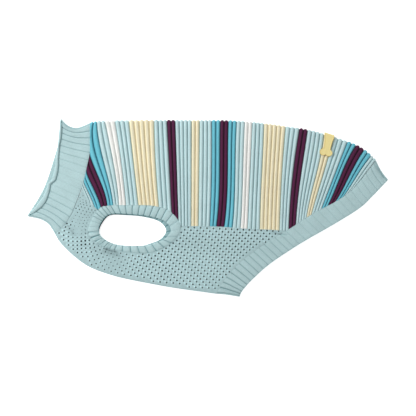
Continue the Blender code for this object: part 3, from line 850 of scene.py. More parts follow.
def belly_patch(half, columns, shares):
    """Flat points of the belly panel, from its upper edge to the fold."""
    head, end = np.zeros((2, len(columns), 2))
    start = 0
    stretches = ((SHOULDER_COLUMNS, 0, SHOULDER_FOLD),
                 (ARMHOLE_COLUMNS, SHOULDER_FOLD, ARMHOLE_FOLD),
                 (FLANK_COLUMNS, ARMHOLE_FOLD, 1))
    for (count, low, high), line in zip(stretches, belly_heads[half]):
        share = (columns - start) / count
        inside = (share >= 0) & (share <= 1)
        head[inside] = line.at(share[inside])
        end[inside] = belly_fold.at(between(low, high, share[inside]))
        start += count
    by_neck, by_rear = (np.maximum(0, 1 - steps / reach)[:, None, None] for steps, reach in (
        (columns, NECK_REACH), (BELLY_COLUMNS - columns, REAR_REACH)))
    points = between(head[:, None], end[:, None], shares[..., None])
    return points + stray(belly_neck, shares) * by_neck + stray(belly_rear, shares) * by_rear


print(f"Belly fold {belly_fold.length:.0f} mm long")

# %% Where the eyelets are
GRAIN = ((150, -71), (67.5, -67.2), (17.5, -65.2), (-32.5, -62.6), (-72.5, -59),
         (-110, -52.7), (-135, -44.6), (-150, -34.6), (-162.5, -22.5), (-170, -7.5),
         (-173.75, 5), (-174, 20), (-174, 40))  # one row of eyelets, rear to neck
ROW_STEP = 3.55  # from one row of eyelets to the next
EYELET_STEPS = ((-175, 5.6), (-150, 6.2), (-90, 7.8), (5, 8.1), (25, 7.4), (150, 7.2))
ANCHOR = -34.5  # x at which an eyelet lies on the grain line
LEAN = 0.3  # each row's shift along the grain
EYELET = 1.05  # radius of an eyelet
EYELET_MARGIN, KNOT_MARGIN = 1.3, 1.2  # clear of the panel's edge
LEAST_EYELET, LEAST_BY_KNOT = 0.22, 0.6 # radii below which eyelet or knot is left out
EYELET_SIDES = 8
LIT_SIDE = 3  # the ring point with a painted highlight
# How light the knit is painted: away from the eyelets, on a ring (painted highlight),
# on a knot, on the ring point with a painted highlight, and inside (painted shade).
FLAT_CREST, RING_HIGHLIGHT, KNOT_CREST, LIT_CREST, INSIDE_SHADE = 0.85, 1.08, 0.82, 1.5, -0.6
ROWS_ABOVE, ROWS_BELOW = 16, 18
# Places where the knit is closer or looser: x, y, reach, change of the radius.
TENSION = (
    (-163, -28, 8, -0.9), (-164, -14, 7, -0.75), (-148, -12, 12, -0.5), (-158, 12, 14, -0.5),
    (-171, -17, 6, 0.3), (-156, -42, 6, 0.3), (98, -32, 10, -0.35), (55, -62, 9, -0.3),
    (10, -98, 9, -0.1), (40, -30, 30, 0.08), (-60, -55, 40, 0.06), (-115, -62, 14, -0.2),
    (-125, -72, 26, -0.2),
)


print(f"{ROWS_ABOVE + ROWS_BELOW} rows, {ROW_STEP} mm apart")


# %% Eyelets in their rows
def eyelet_lattice(shift):
    """Centres of all eyelets in rows along the grain, and points between them."""
    grain = smooth(GRAIN)
    steps = [0.0]
    while steps[-1] < grain.length:
        x = grain.at(steps[-1] / grain.length)[0]
        steps.append(steps[-1] + read(EYELET_STEPS, x))
    counts = np.arange(len(steps))
    to_anchor = np.interp(-ANCHOR, -grain.at(np.array(steps) / grain.length)[:, 0], counts)
    centres, knots = [], []
    for row in range(-ROWS_ABOVE, ROWS_BELOW):
        for places, half_step in ((centres, 0), (knots, 0.5)):
            number = counts[1:-2] + to_anchor % 1 + shift + half_step + 0.5 * (row % 2)
            along = np.interp(number, counts, steps) + LEAN * row
            places.append(grain.beside(along / grain.length, row * ROW_STEP))
    return np.vstack(centres), np.vstack(knots)


def eyelet_radius(places):
    """Radius of an eyelet at each place."""
    radius = np.full(len(places), EYELET)
    for x, y, reach, change in TENSION:
        distance = np.linalg.norm(places - (x, y), axis=1)
        radius *= 1 + change * np.exp(-(distance / reach) ** 2)
    return radius


def inside(outline, points, margin):
    """Which points lie within an outline, at least a margin away from it."""
    x, y = points.T
    start, end = outline, np.roll(outline, -1, axis=0)
    within = np.zeros(len(points), bool)
    nearest = np.full(len(points), np.inf)
    for (x0, y0), (x1, y1) in zip(start, end):
        crosses = (y0 > y) != (y1 > y)
        if y1 != y0:
            within ^= crosses & (x < x0 + (y - y0) * (x1 - x0) / (y1 - y0))
        run = np.array((x1 - x0, y1 - y0))
        share = np.clip(((points - (x0, y0)) @ run) / max(run @ run, 1e-9), 0, 1)
        foot = np.array((x0, y0)) + share[:, None] * run
        nearest = np.minimum(nearest, np.linalg.norm(points - foot, axis=1))
    return within & (nearest > margin)


print(f"{len(eyelet_lattice(0)[0])} places for eyelets before trimming")


# %% Triangles round the eyelets
FOLD_COLUMNS = np.linspace(0, BELLY_COLUMNS, 2 * BELLY_COLUMNS + 1)
SIDE_STEPS = 40  # short lines along neck and rear


def openwork(half):
    """Points, triangles, kinds of point, painted lightness and outline of half the belly
    panel.

    A point is plain (0), on an eyelet's ring (1), on a knot between eyelets (2) or on
    the ring point that gets a painted highlight (3).
    """
    head, fold, _, reach = fold_edge(belly_patch, half, FOLD_COLUMNS)
    shares = np.linspace(0, 1, SIDE_STEPS + 1)[None, 1:-1]
    rear = belly_patch(half, FOLD_COLUMNS[-1:], shares * reach[-1])[0]
    neck = belly_patch(half, FOLD_COLUMNS[:1], shares * reach[0])[0]
    outline = np.vstack((head, rear, fold[::-1], neck[::-1]))

    centres, knots = eyelet_lattice(0 if half == "near" else 0.5)
    radii = eyelet_radius(centres)
    kept = inside(outline, centres, EYELET_MARGIN) & (radii > LEAST_EYELET)
    centres, radii = centres[kept], radii[kept]
    knots = knots[inside(outline, knots, KNOT_MARGIN)
                  & (eyelet_radius(knots) > LEAST_BY_KNOT)]

    angles = (np.arange(EYELET_SIDES) + 0.5) / EYELET_SIDES * 2 * math.pi
    ring = np.stack((np.cos(angles), np.sin(angles)), -1)
    rings = (centres[:, None] + radii[:, None, None] * ring).reshape(-1, 2)
    points = np.vstack((outline, rings, knots))
    first = len(outline)
    loop = np.arange(len(rings)).reshape(-1, EYELET_SIDES) + first
    edges = np.stack((loop, np.roll(loop, -1, axis=1)), -1).reshape(-1, 2)
    result = delaunay_2d_cdt([Vector(point) for point in points], edges.tolist(),
                             [list(range(first))], 1, 1e-6, True)
    flat = np.array([list(point) for point in result[0]])
    triangles = np.array([face for face in result[2] if len(face) == 3])
    source = np.array([sources[0] if sources else -1 for sources in result[3]])
    flat[source >= 0] = points[source[source >= 0]]
    in_ring = (source >= first) & (source < first + len(rings))
    owner = np.where(in_ring, (source - first) // EYELET_SIDES, -1)
    kind = np.where(in_ring, 1, np.where(source >= first + len(rings), 2, 0))
    kind[in_ring & ((source - first) % EYELET_SIDES == LIT_SIDE)] = 3
    width = np.where(in_ring, np.clip(radii[owner] / EYELET * 2.5 - 1.5, 0, 1), 1)
    crests = (FLAT_CREST, RING_HIGHLIGHT, KNOT_CREST, LIT_CREST)
    light = between(FLAT_CREST, np.choose(kind, crests), width)
    fold_start = len(head) + len(rear)
    on_fold = (source >= fold_start) & (source < fold_start + len(fold))
    owners = owner[triangles]
    hole = (owners[:, 0] >= 0) & (owners == owners[:, :1]).all(axis=1)
    on_panel = inside(outline, flat[triangles].mean(axis=1), -1)
    print(f"{half} half: {len(centres)} eyelets")
    return flat, triangles[on_panel & ~hole], kind, light, on_fold, outline


# %% Build the belly panel
KNOT = 0.42  # how far the knit swells between eyelets
EYELET_DIP = 0.12  # how far it sinks round an eyelet
OPENWORK_WALL = 1.3
WALE_WIDTH = 1.3  # one column of loops
belly_outlines = {}


def make_belly_panel():
    """Openwork panel of chest and belly, folded along the belly line."""
    points, faces, crest_shade = [], [], []
    total = 0
    for half, facing in (("near", 1), ("lying", -1)):
        flat, triangles, kind, light, on_fold, belly_outlines[half] = openwork(half)
        swell = np.choose(kind, (0, -EYELET_DIP, KNOT, -EYELET_DIP))
        if half == "near":
            outer = stacked(flat, TOP + relief(flat) + swell)
            inner = stacked(flat, TOP - OPENWORK_WALL + relief(flat))
        else:
            outer, inner = stacked(flat, 0.0), stacked(flat, OPENWORK_WALL)
        count = len(flat)
        start, end, is_open = open_edges(triangles, count)
        rim = is_open & ~(on_fold[start] & on_fold[end])
        start, end = start[rim], end[rim]
        wall = np.vstack((np.stack((end, start, start + count), -1),
                          np.stack((end, start + count, end + count), -1)))
        skin = np.vstack((triangles, triangles[:, ::-1] + count, wall))
        if facing < 0:
            skin = skin[:, ::-1]
        points += [outer, inner]
        # the inner skin, seen through the eyelets, gets painted shade
        crest_shade += [light + crease_shade(flat), np.full(count, INSIDE_SHADE)]
        faces.append(skin + total)
        total += 2 * count
    for outer in (True, False):
        strip, cells = fold_strip(outer)
        points.append(strip)
        crest_shade.append(np.full(len(strip), FLAT_CREST if outer else INSIDE_SHADE))
        faces.append(cells + total)
        total += len(strip)
    points, crest_shade = np.vstack(points), np.concatenate(crest_shade)
    _, first, index = np.unique(np.round(points, 4), axis=0, return_index=True,
                                   return_inverse=True)
    faces = index.ravel()[np.vstack(faces)]
    flats = (faces[:, 0] == faces[:, 1]) | (faces[:, 1] == faces[:, 2]) | (
        faces[:, 0] == faces[:, 2])
    points, crest_shade = points[first], crest_shade[first]
    loops = points[:, :2] / np.array((WALE_WIDTH, LOOP))
    return mesh_piece("belly_panel_knit", points * MM, faces[~flats], crest_shade, loops,
                      [yarns["openwork"]], sharp=50)


def fold_strip(outer):
    """The rounded belly fold as triangles, between the two flat halves."""
    (near_centre, near_out), (lying_centre, lying_out) = (
        fold_edge(belly_patch, half, FOLD_COLUMNS)[1:3] for half in ("near", "lying"))
    lift = relief(near_centre)
    radius = HALF if outer else HALF - OPENWORK_WALL
    rings = []
    for angle in (90, *FOLD_ANGLES, -90):
        share = (90 - angle) / 180
        rings.append(fold_ring(between(near_centre, lying_centre, share),
                               between(near_out, lying_out, share), angle, radius, lift))
    grid = np.stack(rings, axis=1)
    number = np.arange(grid.shape[0] * grid.shape[1]).reshape(grid.shape[:2])
    a, b, c, d = (number[:-1, :-1], number[1:, :-1], number[1:, 1:], number[:-1, 1:])
    cells = np.concatenate((np.stack((a, b, c), -1), np.stack((a, c, d), -1))).reshape(-1, 3)
    return grid.reshape(-1, 3), cells[:, ::-1] if outer else cells


belly_panel = make_belly_panel()

# %% [markdown]
# ## Collar and hem band
#
# Both are flattened tubes of a broad flat rib. The flat shape between the seam and
# the open edge is a Coons patch: it follows all four edges exactly. The collar's cut
# edge curls outwards, as the edge of a knit does. The curl is a small loop in the
# cloth's section, wider in some places and set back in others, so that the edge of
# the lying half shows beside it.

# %% Flattened tubes
FOLD_DECAY = 10  # how soon ribs stop giving way to a fold


def coons(seam, mouth, start, end, lean=0, end_decay=5):
    """Flat points between four edges, by shares across and up.

    lean is how much further along the mouth than along the seam a rib ends. The
    higher end_decay is, the sooner ribs straighten away from a curved end.
    """
    def flat(across, up, clear=0.0):
        """Points, moved in by a distance from the folds at both ends."""
        leaned = across + lean * across ** 2 * (1 - across ** 10)
        foot, top = (line.at(share + clear / line.length * (
            (1 - share) ** FOLD_DECAY - share ** FOLD_DECAY))
            for line, share in ((seam, across), (mouth, leaned)))
        by_start, by_end = (share[..., None] ** end_decay for share in (1 - across, across))
        return (between(foot, top, up[..., None]) + stray(start, up) * by_start
                + stray(end, up) * by_end)
    return flat


def tube_skin(flat, across, near_up, near_height, lying_up, lying_across, radius, floor):
    """One skin of a flattened tube: near half, fold, lying half, fold.

    near_up and near_height are by column and row, lying_up by row.
    """
    skin = [stacked(flat(across[:, None], near_up, HALF), near_height)]

    def fold(side, column, angles):
        """Columns round the fold at one end."""
        for angle in angles:
            up = between(near_up[column], lying_up, (90 - angle) / 180)
            across_end = np.full(up.shape, float(side))
            centre = flat(across_end, up, HALF)
            yield fold_ring(centre, unit(flat(across_end, up) - centre), angle, radius,
                            near_height[column] - HALF - radius)[None]

    skin.extend(fold(1, -1, FOLD_ANGLES))
    up = np.broadcast_to(lying_up, (len(lying_across), len(lying_up)))
    skin.append(stacked(flat(lying_across[:, None], up, HALF), floor))
    skin.extend(fold(0, 0, FOLD_ANGLES[::-1]))
    return np.concatenate(skin, axis=0)


def tube_skins(flat, across, near, lying_up, lying_across):
    """Outer and inner skin, each from its shares up and heights on the near half."""
    return [tube_skin(flat, across, *side, lying_up, lying_across, *lying)
            for side, lying in zip(near, ((HALF, 0.0), (LAYER_GAP / 2, WALL)))]


WALES = 5  # columns of loops on a band rib
FOLD_CREST = 0.9


def band_loops(points, wales):
    """Loop coordinates over a band: wales across, rows along."""
    along = run_along(points)
    return np.stack((wales[:, None] + 0 * along, along / LOOP), -1)


def tube_values(ribs, number, profile, lying_across, rows):
    """Once round a tube: wales by column, and the crest by column and row."""
    folds = np.arange(len(FOLD_ANGLES))
    wales = np.concatenate((number * WALES, ribs * WALES + folds,
                            lying_across * ribs * WALES, -folds))
    on_fold = np.full(len(folds), FOLD_CREST)
    crest_shade = np.concatenate((profile, on_fold, rib(lying_across * ribs, FLAT), on_fold))
    return wales, crest_shade[:, None] * np.ones((1, rows))


def sunk(distance, depth, reach):
    """How far a seam pulls the cloth down at a distance from it."""
    return -depth * np.exp(-distance / reach)


# %% Sizes of the collar
COLLAR_RIBS = 16
# How strongly the grooves show, from nape to throat.
COLLAR_GROOVES = ((0, 0.9), (0.15, 0.7), (0.35, 0.4), (0.5, 0.22), (0.65, 0.3), (0.8, 0.6),
                  (1, 0.7))
WALE_DEPTH = 0.08  # a faint line along the middle of each rib
CURL_WALL = 1.2
CURL_HEIGHT = 2.0  # top of the curl above the near half
# Along the mouth from nape to throat: share, how far the curl is set back, its width.
CURL = (
    (0.00, 0.0, 2.8), (0.10, 0.0, 3.4), (0.21, 0.0, 3.3), (0.24, 0.2, 2.3), (0.31, 0.9, 2.8),
    (0.38, 2.2, 3.7), (0.435, 3.9, 4.6), (0.52, 5.1, 5.2), (0.575, 5.7, 4.8), (0.63, 2.3, 3.9),
    (0.68, 3.4, 4.7), (0.78, 4.0, 6.4), (0.86, 3.0, 6.8), (0.94, 1.3, 5.0), (1.00, 0.4, 2.8),
)
CURL_SQUARE = 0.65  # below 1 its section is flatter on top
CURL_ANGLES = np.radians((-60, -30, 0, 30, 60, 90, 120, 150, 180, 205))
CURL_SLIM = ((0, 0.45), (0.06, 1), (0.94, 1), (1, 0.45))  # it is lower at the folds
PLAIN_ROWS = 22  # rows of points below the curl
BY_CURL = (-0.7, 0.1, 0.6)  # rows close to where it comes down
FLAT_ROWS = PLAIN_ROWS + len(BY_CURL) + 1
CURL_SHADE = (0.45, -0.3, -0.6, -0.6, 0, 0, 0)  # the painted shadow line beside the curl
CURL_OUTSIDE, CURL_EDGE_SHADE = 0.92, -0.2  # crest value on the curl, and painted shade at its free edge
LYING_END = 0.96  # where the lying half's last rows begin
print(f"{COLLAR_RIBS} ribs, the curl {min(row[2] for row in CURL)} to "
      f"{max(row[2] for row in CURL)} mm wide")


# %% Section of the collar
def collar_profile(across):
    """Height of the collar's ribs. The grooves are fainter away from the folds."""
    strength = read(COLLAR_GROOVES, across)
    wale = WALE_DEPTH * np.exp(-((across * COLLAR_RIBS % 1 - 0.42) / 0.08) ** 2)
    return 1 - (1 - rib(across * COLLAR_RIBS, FLAT)) * strength - wale


def collar_rows(flat, across, outer):
    """Shares up and heights on the collar's near half, flat rows and then the curl."""
    setback, width = (read(CURL, across, column)[:, None] for column in (1, 2))
    ends = [flat(across[:, None], np.full((len(across), 1), share)) for share in (0.0, 1.0)]
    length = np.linalg.norm(ends[1] - ends[0], axis=-1)
    profile = collar_profile(across)[:, None]
    centre = length - setback - width / 2
    foot = centre - width / 2  # where the curl comes down on the collar
    along = np.concatenate((np.linspace(0, 1, PLAIN_ROWS)[None] ** 0.9 * (foot - 1.5),
                            *(foot + step for step in BY_CURL), centre), axis=1)
    points = flat(across[:, None], along / length)
    if outer:
        level = TOP + between(-GROOVE_DEPTH, BAND_RIB, profile) + sunk(along, 0.55, 1.3)
    else:
        level = np.full(along.shape, TOP - WALL)
    level = level + relief(points)
    half_height = (TOP + CURL_HEIGHT - (TOP - WALL) - CURL_WALL) / 2
    middle = TOP - WALL + CURL_WALL / 2 + half_height
    side = -CURL_WALL / 2 if outer else CURL_WALL / 2
    tucked = np.where(CURL_ANGLES > math.pi, 0.75, 1.0)[None]
    sideways = (width / 2 - CURL_WALL / 2 + side) * tucked
    turn_out, turn_up = (np.sign(turn) * np.abs(turn) ** CURL_SQUARE
                         for turn in (np.cos(CURL_ANGLES), np.sin(CURL_ANGLES)))
    curl_along = centre + np.maximum(sideways, 0.25) * turn_out
    curl_level = middle + (half_height + side) * turn_up[None]
    curl_level = between(TOP - WALL, curl_level, read(CURL_SLIM, across)[:, None])
    up = np.concatenate((along, curl_along), axis=1) / length
    return up, np.concatenate((level, curl_level + 0 * curl_along), axis=1)


# %% Build the collar
def make_collar():
    """Wide rib collar with a curled edge."""
    flat = coons(collar_line.moved(-SEAM_GAP / 2), smooth(COLLAR_MOUTH),
                 smooth(COLLAR_NAPE), smooth(COLLAR_THROAT), end_decay=8)
    across = rib_columns(COLLAR_RIBS, FLAT_SAMPLES) / COLLAR_RIBS
    lying_across = np.linspace(1, 0, 2 * COLLAR_RIBS + 1)
    rows = FLAT_ROWS + len(CURL_ANGLES)
    lying_up = np.concatenate((np.linspace(0, LYING_END, FLAT_ROWS),
                               np.linspace(LYING_END, 1, rows - FLAT_ROWS + 1)[1:]))
    near = [collar_rows(flat, across, outer) for outer in (True, False)]
    skins = tube_skins(flat, across, near, lying_up, lying_across)
    wales, crest_shade = tube_values(COLLAR_RIBS, across * COLLAR_RIBS, collar_profile(across),
                               lying_across, rows)
    crest_shade[:, FLAT_ROWS:] = FOLD_CREST
    # a painted shadow line on the collar beside the curl
    crest_shade[:len(across), PLAIN_ROWS:PLAIN_ROWS + len(CURL_SHADE)] = CURL_SHADE
    outside = crest_shade * 0 + CURL_OUTSIDE
    # painted shade along the curl's free edge
    outside[:len(across), -1] = CURL_EDGE_SHADE
    return cloth("collar_knit", *skins, crest_shade, band_loops(skins[0], wales),
                 [yarns["band"]], closed=True, inner_crest=outside)


collar = make_collar()

# %% Build the hem band
HEM_RIBS = 30
HEM_SPREAD = ((0, 0), (0.5, 0.55), (1, 1))  # share of the ribs, share of the length
HEM_LEAN = 0.085
HEM_ROWS = 24
# How strongly the grooves show, from the spine to the belly fold.
HEM_GROOVES = ((0, 0.5), (0.1, 0.35), (0.5, 0.35), (0.62, 0.5), (0.75, 0.6), (0.9, 0.9),
               (1, 1.2))


def make_hem_band():
    """Rib band round the slanted rear opening."""
    flat = coons(hem_line.moved(SEAM_GAP / 2), smooth(HEM_EDGE), smooth(HEM_TOP),
                 smooth(HEM_FOOT), HEM_LEAN)
    number = rib_columns(HEM_RIBS, FLAT_SAMPLES)
    across = read(HEM_SPREAD, number / HEM_RIBS)
    lying_across = np.linspace(1, 0, 2 * HEM_RIBS + 1)
    rows = eased(HEM_ROWS)
    up = rows[None] * np.ones((len(across), 1))
    points = flat(across[:, None], up)
    profile = 1 - (1 - rib(number, FLAT)) * read(HEM_GROOVES, across)
    ends = np.linalg.norm(points[:, -1] - points[:, 0], axis=-1)[:, None]
    dip = sunk(up * ends, 0.6, 1.3) + sunk((1 - up) * ends, 0.7, 1.1)
    level = TOP + between(-GROOVE_DEPTH, BAND_RIB, profile)[:, None] + dip + relief(points)
    near = (up, level), (up, TOP - WALL + relief(points))
    skins = tube_skins(flat, across, near, rows, lying_across)
    wales, crest_shade = tube_values(HEM_RIBS, number, np.clip(profile, 0, 1), lying_across,
                               len(rows))
    crest_shade[:len(across)] += crease_shade(points)
    return cloth("hem_band_knit", *skins, crest_shade, band_loops(skins[0], wales),
                 [yarns["band"]], closed=True)


hem_band = make_hem_band()

# %% [markdown]
# ## The armhole bands
#
# Each armhole has a narrow rib band, folded double so that its edge is round. It
# stands a little higher than the panels. Its grooves fade where the band bends
# sharply, at both ends of the hole.

# %% Build the armhole bands
ARMHOLE_RIBS, ARMHOLE_ROWS = 34, 15
BAND_WIDTH = 11.5
BAND_SWELL, BAND_DROP = 0.75, 0.45  # how far it rounds up, and drops at the hole
BAND_LIP = 0.8  # how far its lower face rises at the hole
LYING_RIBS, LYING_DROP = 0.6, 0.3  # flatter ribs on the lying half, and lower
# The ribs are closer where the band was gathered: rib number, share of the way round.
ARMHOLE_SPREAD = ((0, 0), (2.8, 0.055), (11.7, 0.34), (17.4, 0.54), (22.7, 0.75),
                  (27.9, 0.872), (31.5, 0.96), (34, 1))
LEDGE = 1.1  # how far a strip of the band's inner layer shows in the hole, with painted shade
# How dark the hole's rim is, from the shoulder clockwise: the light comes from there.
HOLE_SHADE = ((0, 0.95), (0.08, 0.8), (0.2, 0.4), (0.3, 0.1), (0.88, 0.0), (0.925, 1), (1, 1))
RIM_SHADE, INNER_CREST, INNER_SHADE = 1.6, 0.3, 1.4
# How dark the seam beside the belly is.
SEAM_SHADE = ((0, 0), (0.36, 0), (0.45, 0.45), (0.6, 0.3), (0.72, 0.6), (0.8, 0.5),
              (0.85, 0), (1, 0))
# Where the grooves fade, at the right and left end of the hole: place, reach, how much.
FADES = ((0.42, 0.055, 0.9), (0.93, 0.035, 0.92))


def make_armhole_band(name, half):
    """Rib band sewn round one armhole."""
    outer_edge, hole_edge = armhole_edges(half)
    outer_edge = outer_edge.moved(-SEAM_GAP / 2)
    around = rib_columns(ARMHOLE_RIBS, FLAT_SAMPLES)[:-1]
    rows = eased(ARMHOLE_ROWS)
    place = read(ARMHOLE_SPREAD, around)
    # Both edges come from the same table rows, so ribs run from row to row.
    table_place = np.arange(len(hole_edge.points))
    mean_share = (outer_edge.lengths / outer_edge.length
                  + hole_edge.lengths / hole_edge.length) / 2
    row_place = np.interp(place, mean_share, table_place)
    seam, hole = (np.stack([np.interp(row_place, table_place, edge.points[:, axis])
                            for axis in (0, 1)], -1)[:, None]
                  for edge in (outer_edge, hole_edge))
    flat = between(seam, hole, rows[None, :, None])
    profile = rib(around, FLAT)[:, None]
    place = place[:, None]
    fade = np.ones_like(place)
    if half == "near":
        for middle, reach, much in FADES:
            fade = fade - much * np.exp(-((place - middle) / reach) ** 2)
    rounding = BAND_SWELL * np.sin(math.pi * rows) ** 0.7 - BAND_DROP * rows ** 8
    lift = (between(-GROOVE_DEPTH * fade, BAND_RIB * 0.8, profile) + rounding
            + sunk(rows * BAND_WIDTH, 0.5, 1.0))
    if half == "near":
        outer = stacked(flat, TOP + lift + relief(flat))
        in_shade = read(HOLE_SHADE, place)
        # a strip of the inner layer reaches into the hole and carries the rim's painted shade
        ledge = flat + unit(hole - seam) * (LEDGE * in_shade * rows ** 8)[..., None]
        inner = stacked(ledge, TOP - WALL + BAND_LIP * rows ** 6)
    else:
        outer = stacked(flat, 0.0)
        inner = stacked(flat, WALL + lift * LYING_RIBS - LYING_DROP)
    crest_shade = profile * np.ones((1, len(rows)))
    crest_shade = 1 - (1 - crest_shade) * np.clip(fade, 0, 1)
    if half == "near":
        crest_shade = crest_shade + crease_shade(flat) - RIM_SHADE * in_shade * rows ** 20
        crest_shade = crest_shade - read(SEAM_SHADE, place) * (1 - rows) ** 16
        inner_crest = INNER_CREST - INNER_SHADE * in_shade + 0 * crest_shade
    else:
        # the lying band's inner face, seen through the hole, gets painted shade
        inner_crest = crest_shade * 0.65 - 0.3
    loops = band_loops(outer, around * WALES)
    return cloth(name, outer, inner, crest_shade, loops, [yarns["band"]], closed=True,
                 inner_crest=inner_crest)


band_left = make_armhole_band("armhole_band_left_knit", "near")
band_right = make_armhole_band("armhole_band_right_knit", "lying")

# %% [markdown]
# ## The bone patch
#
# A small moulded patch, folded over the spine near the rear. It is stiffer than the
# knit and lies across three ribs. Its border is raised, and fine lines run down its
# face. The patch is a grid again, with its width taken from a short table.

# %% Finish of the patch
def patch_material():
    """Soft satin plastic with fine lines down its face, and painted shade towards its rim."""
    material, tree, shader = new_finish("straw_patch_plastic", {"Specular IOR Level": 0.4})
    crest_shade = add_node(tree, "Attribute", attribute_name="crest_shade").outputs["Fac"]
    cloud = noise(tree, add_node(tree, "TexCoord").outputs["Object"], 420)
    # darker towards the rim: painted shade on the rounded edge
    colour = mixed(tree, crest_shade, (0.62, 0.43, 0.11, 1), (0.80, 0.68, 0.30, 1))
    rough = math_node(tree, "ADD", math_node(tree, "MULTIPLY", cloud, 0.2), 0.42)
    bump = add_node(tree, "Bump", {"Strength": 0.3, "Distance": 0.0002, "Height": cloud})
    set_inputs(tree, shader, {"Base Color": colour, "Roughness": rough,
                              "Normal": bump.outputs["Normal"]})
    return material


# %% Build the bone patch
BONE_VALLEY = 62.1
BONE_THICKNESS = 1.5
BONE_BORDER = 0.4  # how far the border is raised
BORDER_WIDTH, LINES_FROM = 1.4, 1.6  # from its edge
BONE_ROUND, ROUND_REACH = 0.7, 0.35  # how far its edge is rounded off
BONE_SHAPE = ((0, 5.6), (4, 5.0), (9, 4.8), (14.2, 5.0), (16.8, 7.8), (19.2, 8.8),
              (21.6, 8.0), (23.6, 5.6))  # distance from the fold, half width
BONE_ROWS, BONE_COLUMNS = 44, 13
LINE_STEP, LINE_DEPTH = 1.3, 0.10  # the fine lines on its face
BONE_CLEAR = 0.25  # above the ribs
BONE_NOTCH, NOTCH_WIDTH = 1.6, 0.4  # the dip in its end
BONE_ANGLES = (-20, -5, 10, 25, 40, 52, 65, 78)


def make_bone_patch():
    """Bone-shaped patch with a raised border, folded over the spine."""
    def rib_point(valley, share):
        """Flat points on ribs, all at one share of their height."""
        valley = np.atleast_1d(valley)
        return back_patch("near", valley, share * np.ones((len(valley), 1)))[:, 0]

    half_way = np.sin(np.linspace(0, math.pi / 2, BONE_COLUMNS))
    across = np.concatenate((-half_way[:0:-1], half_way))
    down = smooth(BONE_SHAPE).at(np.linspace(0, 1, BONE_ROWS))
    length = BONE_SHAPE[-1][0]
    height = np.linalg.norm(rib_point(BONE_VALLEY, 1.0) - rib_point(BONE_VALLEY, 0.0))
    pitch = np.linalg.norm(rib_point(BONE_VALLEY + 1, 0.9) - rib_point(BONE_VALLEY, 0.9))
    rows = [(angle, 0.0, BONE_SHAPE[0][1]) for angle in BONE_ANGLES]
    rows += [(90, *row) for row in down]
    skins = [[], []]
    crest_shade = []
    for angle, distance, width in rows:
        valley = BONE_VALLEY + across * width / pitch
        inset = (1 - np.abs(across)) * width
        rim = np.minimum(inset, length - distance)
        border = np.clip(BORDER_WIDTH - rim, 0, 1) ** 0.7
        rounded = BONE_ROUND * np.exp(-rim / ROUND_REACH)
        lines = LINE_DEPTH * np.sin(across * width * 2 * math.pi / LINE_STEP)
        lines = lines * (rim > LINES_FROM)
        face = BONE_THICKNESS + BONE_BORDER * border - rounded + lines
        notch = BONE_NOTCH * np.clip(1 - np.abs(across) / NOTCH_WIDTH, 0, 1)
        notch = notch * (distance / length) ** 4
        for skin, thickness in zip(skins, (face, 0 * face)):
            lift = RIB_HEIGHT + BONE_CLEAR + thickness
            centre = rib_point(valley, 1 - HALF / height)
            edge = unit(rib_point(valley, 1.0) - centre)
            if angle == 90:
                shares = 1 - (HALF + distance - notch) / height
                points = np.vstack([rib_point(v, s) for v, s in zip(valley, shares)])
                skin.append(stacked(points, TOP + lift))
            else:
                turn = math.radians(angle)
                points = centre + edge * ((HALF + lift) * math.cos(turn))[:, None]
                skin.append(stacked(points, HALF + (HALF + lift) * math.sin(turn)))
        # the crest value is low near the rim, for the painted shade there
        crest_shade.append(np.clip(rim / 0.9, 0, 1))
    outer, inner = (np.stack(skin, axis=1) for skin in skins)
    crest_shade = np.stack(crest_shade, axis=1)
    return cloth("bone_patch_moulded", outer, inner, crest_shade, outer[..., :2],
                 [patch_material()])


bone_patch = make_bone_patch()

# %% [markdown]
# ## Everything rides on the vest
#
# The vest has no joints, so it is one body. Each piece stands for its solid, and each
# piece of cloth states the size that it was cut to, all round where it is a tube.

# %% Bodies and flat sizes
def shoelace(outline):
    """Area inside a closed outline."""
    x, y = outline.T
    return abs(np.dot(x, np.roll(y, -1)) - np.dot(y, np.roll(x, -1))) / 2


def ring_area(seam, edge):
    """Area of both layers between two lines that run the same way."""
    shares = np.linspace(0, 1, 60)
    return 2 * shoelace(np.vstack((seam.at(shares), edge.at(shares)[::-1])))


for piece, node, slot in (
    (back_panel, "back_panel", "striped_rib"),
    (belly_panel, "belly_panel", "openwork_knit"),
    (collar, "collar", "band_rib"),
    (hem_band, "hem_band", "band_rib"),
    (band_left, "armhole_band_left", "band_rib"),
    (band_right, "armhole_band_right", "band_rib"),
    (bone_patch, "bone_patch", "straw_patch"),
):
    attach(piece, "root")
    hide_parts(node)

back_outline = np.vstack((back_feet["near"].points, spine.points[::-1],
                          neck_line.part(0, neck_line.share_at(COLLAR_CORNER)).points))
# Both panels: the smallest box round one side's outline, its width doubled over the
# fold. Collar and hem: the seam all round, and the greatest height from seam to edge.
CUT = {
    # piece: width, length and area, in millimetres, and what it lies on
    back_panel: (268, 367, 2 * shoelace(back_outline), ["armhole_band_right"]),
    belly_panel: (196, 282, 2 * shoelace(belly_outlines["near"]), ["back_panel"]),
    collar: (301, 45, ring_area(collar_line, smooth(COLLAR_MOUTH)), ["back_panel"]),
    hem_band: (529, 30, ring_area(hem_line, smooth(HEM_EDGE)), ["back_panel"]),
    band_left: (290, 12, None, ["back_panel"]),
    band_right: (290, 12, None, ["back_panel"]),
}
for piece, (width, length, area, below) in CUT.items():
    area and area * MM * MM
    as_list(below)
    print(f"{piece.name}: cut {width} x {length} mm, {(area or width * length) / 100:.0f} cm2")

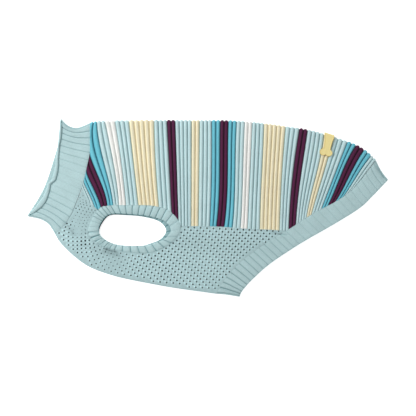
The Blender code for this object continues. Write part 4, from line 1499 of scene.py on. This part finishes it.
# %% [markdown]
# ## Surface, light and camera
#
# The vest lies on a plain white surface and is seen from straight above. One large
# soft light stands at the upper left, low enough to shade the right side of each
# rib. A weaker one from above and a pale surround fill the shadows.

# %% The surface
def floor_material():
    """Matt white paper with a faint grain."""
    material, tree, shader = new_finish("white_surface", {
        "Roughness": 0.9, "Specular IOR Level": 0.1,
        "Emission Color": (1, 1, 1, 1), "Emission Strength": 0.55})
    grain = add_node(tree, "TexNoise", {"Scale": 300}).outputs[0]
    tint = mixed(tree, grain, (0.93, 0.93, 0.93, 1), (0.96, 0.96, 0.96, 1))
    set_inputs(tree, shader, {"Base Color": tint})
    return material


bpy.ops.mesh.primitive_plane_add(size=3, location=(0, 0, -0.0002))
floor = bpy.context.object
floor.name = "white_surface"
floor.data.materials.append(floor_material())
print("Surface:", floor.name)

# %% Light
def area_light(name, place, size, power):
    """A square soft light that faces the middle of the vest."""
    light = bpy.data.lights.new(name, "AREA")
    light.size, light.energy = size, power
    lamp = bpy.data.objects.new(name, light)
    lamp.location = place
    lamp.rotation_euler = (-Vector(place)).to_track_quat("-Z", "Y").to_euler()
    bpy.context.scene.collection.objects.link(lamp)


area_light("key", (-0.95, 0.55, 0.75), 0.5, 12.5)
area_light("fill", (0.5, -0.3, 1.6), 1.2, 3)
world = bpy.data.worlds.new("pale_surround")
world.use_nodes = True
set_inputs(world.node_tree, world.node_tree.nodes["Background"],
           {"Color": (1, 1, 1, 1), "Strength": 0.56})
bpy.context.scene.world = world
bpy.context.scene.view_settings.view_transform = "Standard"
print("Two lights and a pale surround")

# %% Camera
VIEW_WIDTH = 520  # what the picture spans at the vest
CREST_LEVEL = 5  # height of what is in view
LENS, SENSOR = 100, 36
camera_data = bpy.data.cameras.new("camera")
camera_data.lens, camera_data.sensor_width = LENS, SENSOR
camera = bpy.data.objects.new("camera", camera_data)
camera.location = (0, 0, (VIEW_WIDTH * LENS / SENSOR + CREST_LEVEL) * MM)
bpy.context.scene.collection.objects.link(camera)
bpy.context.scene.camera = camera
print(f"Camera {camera.location.z:.3f} m above the surface")
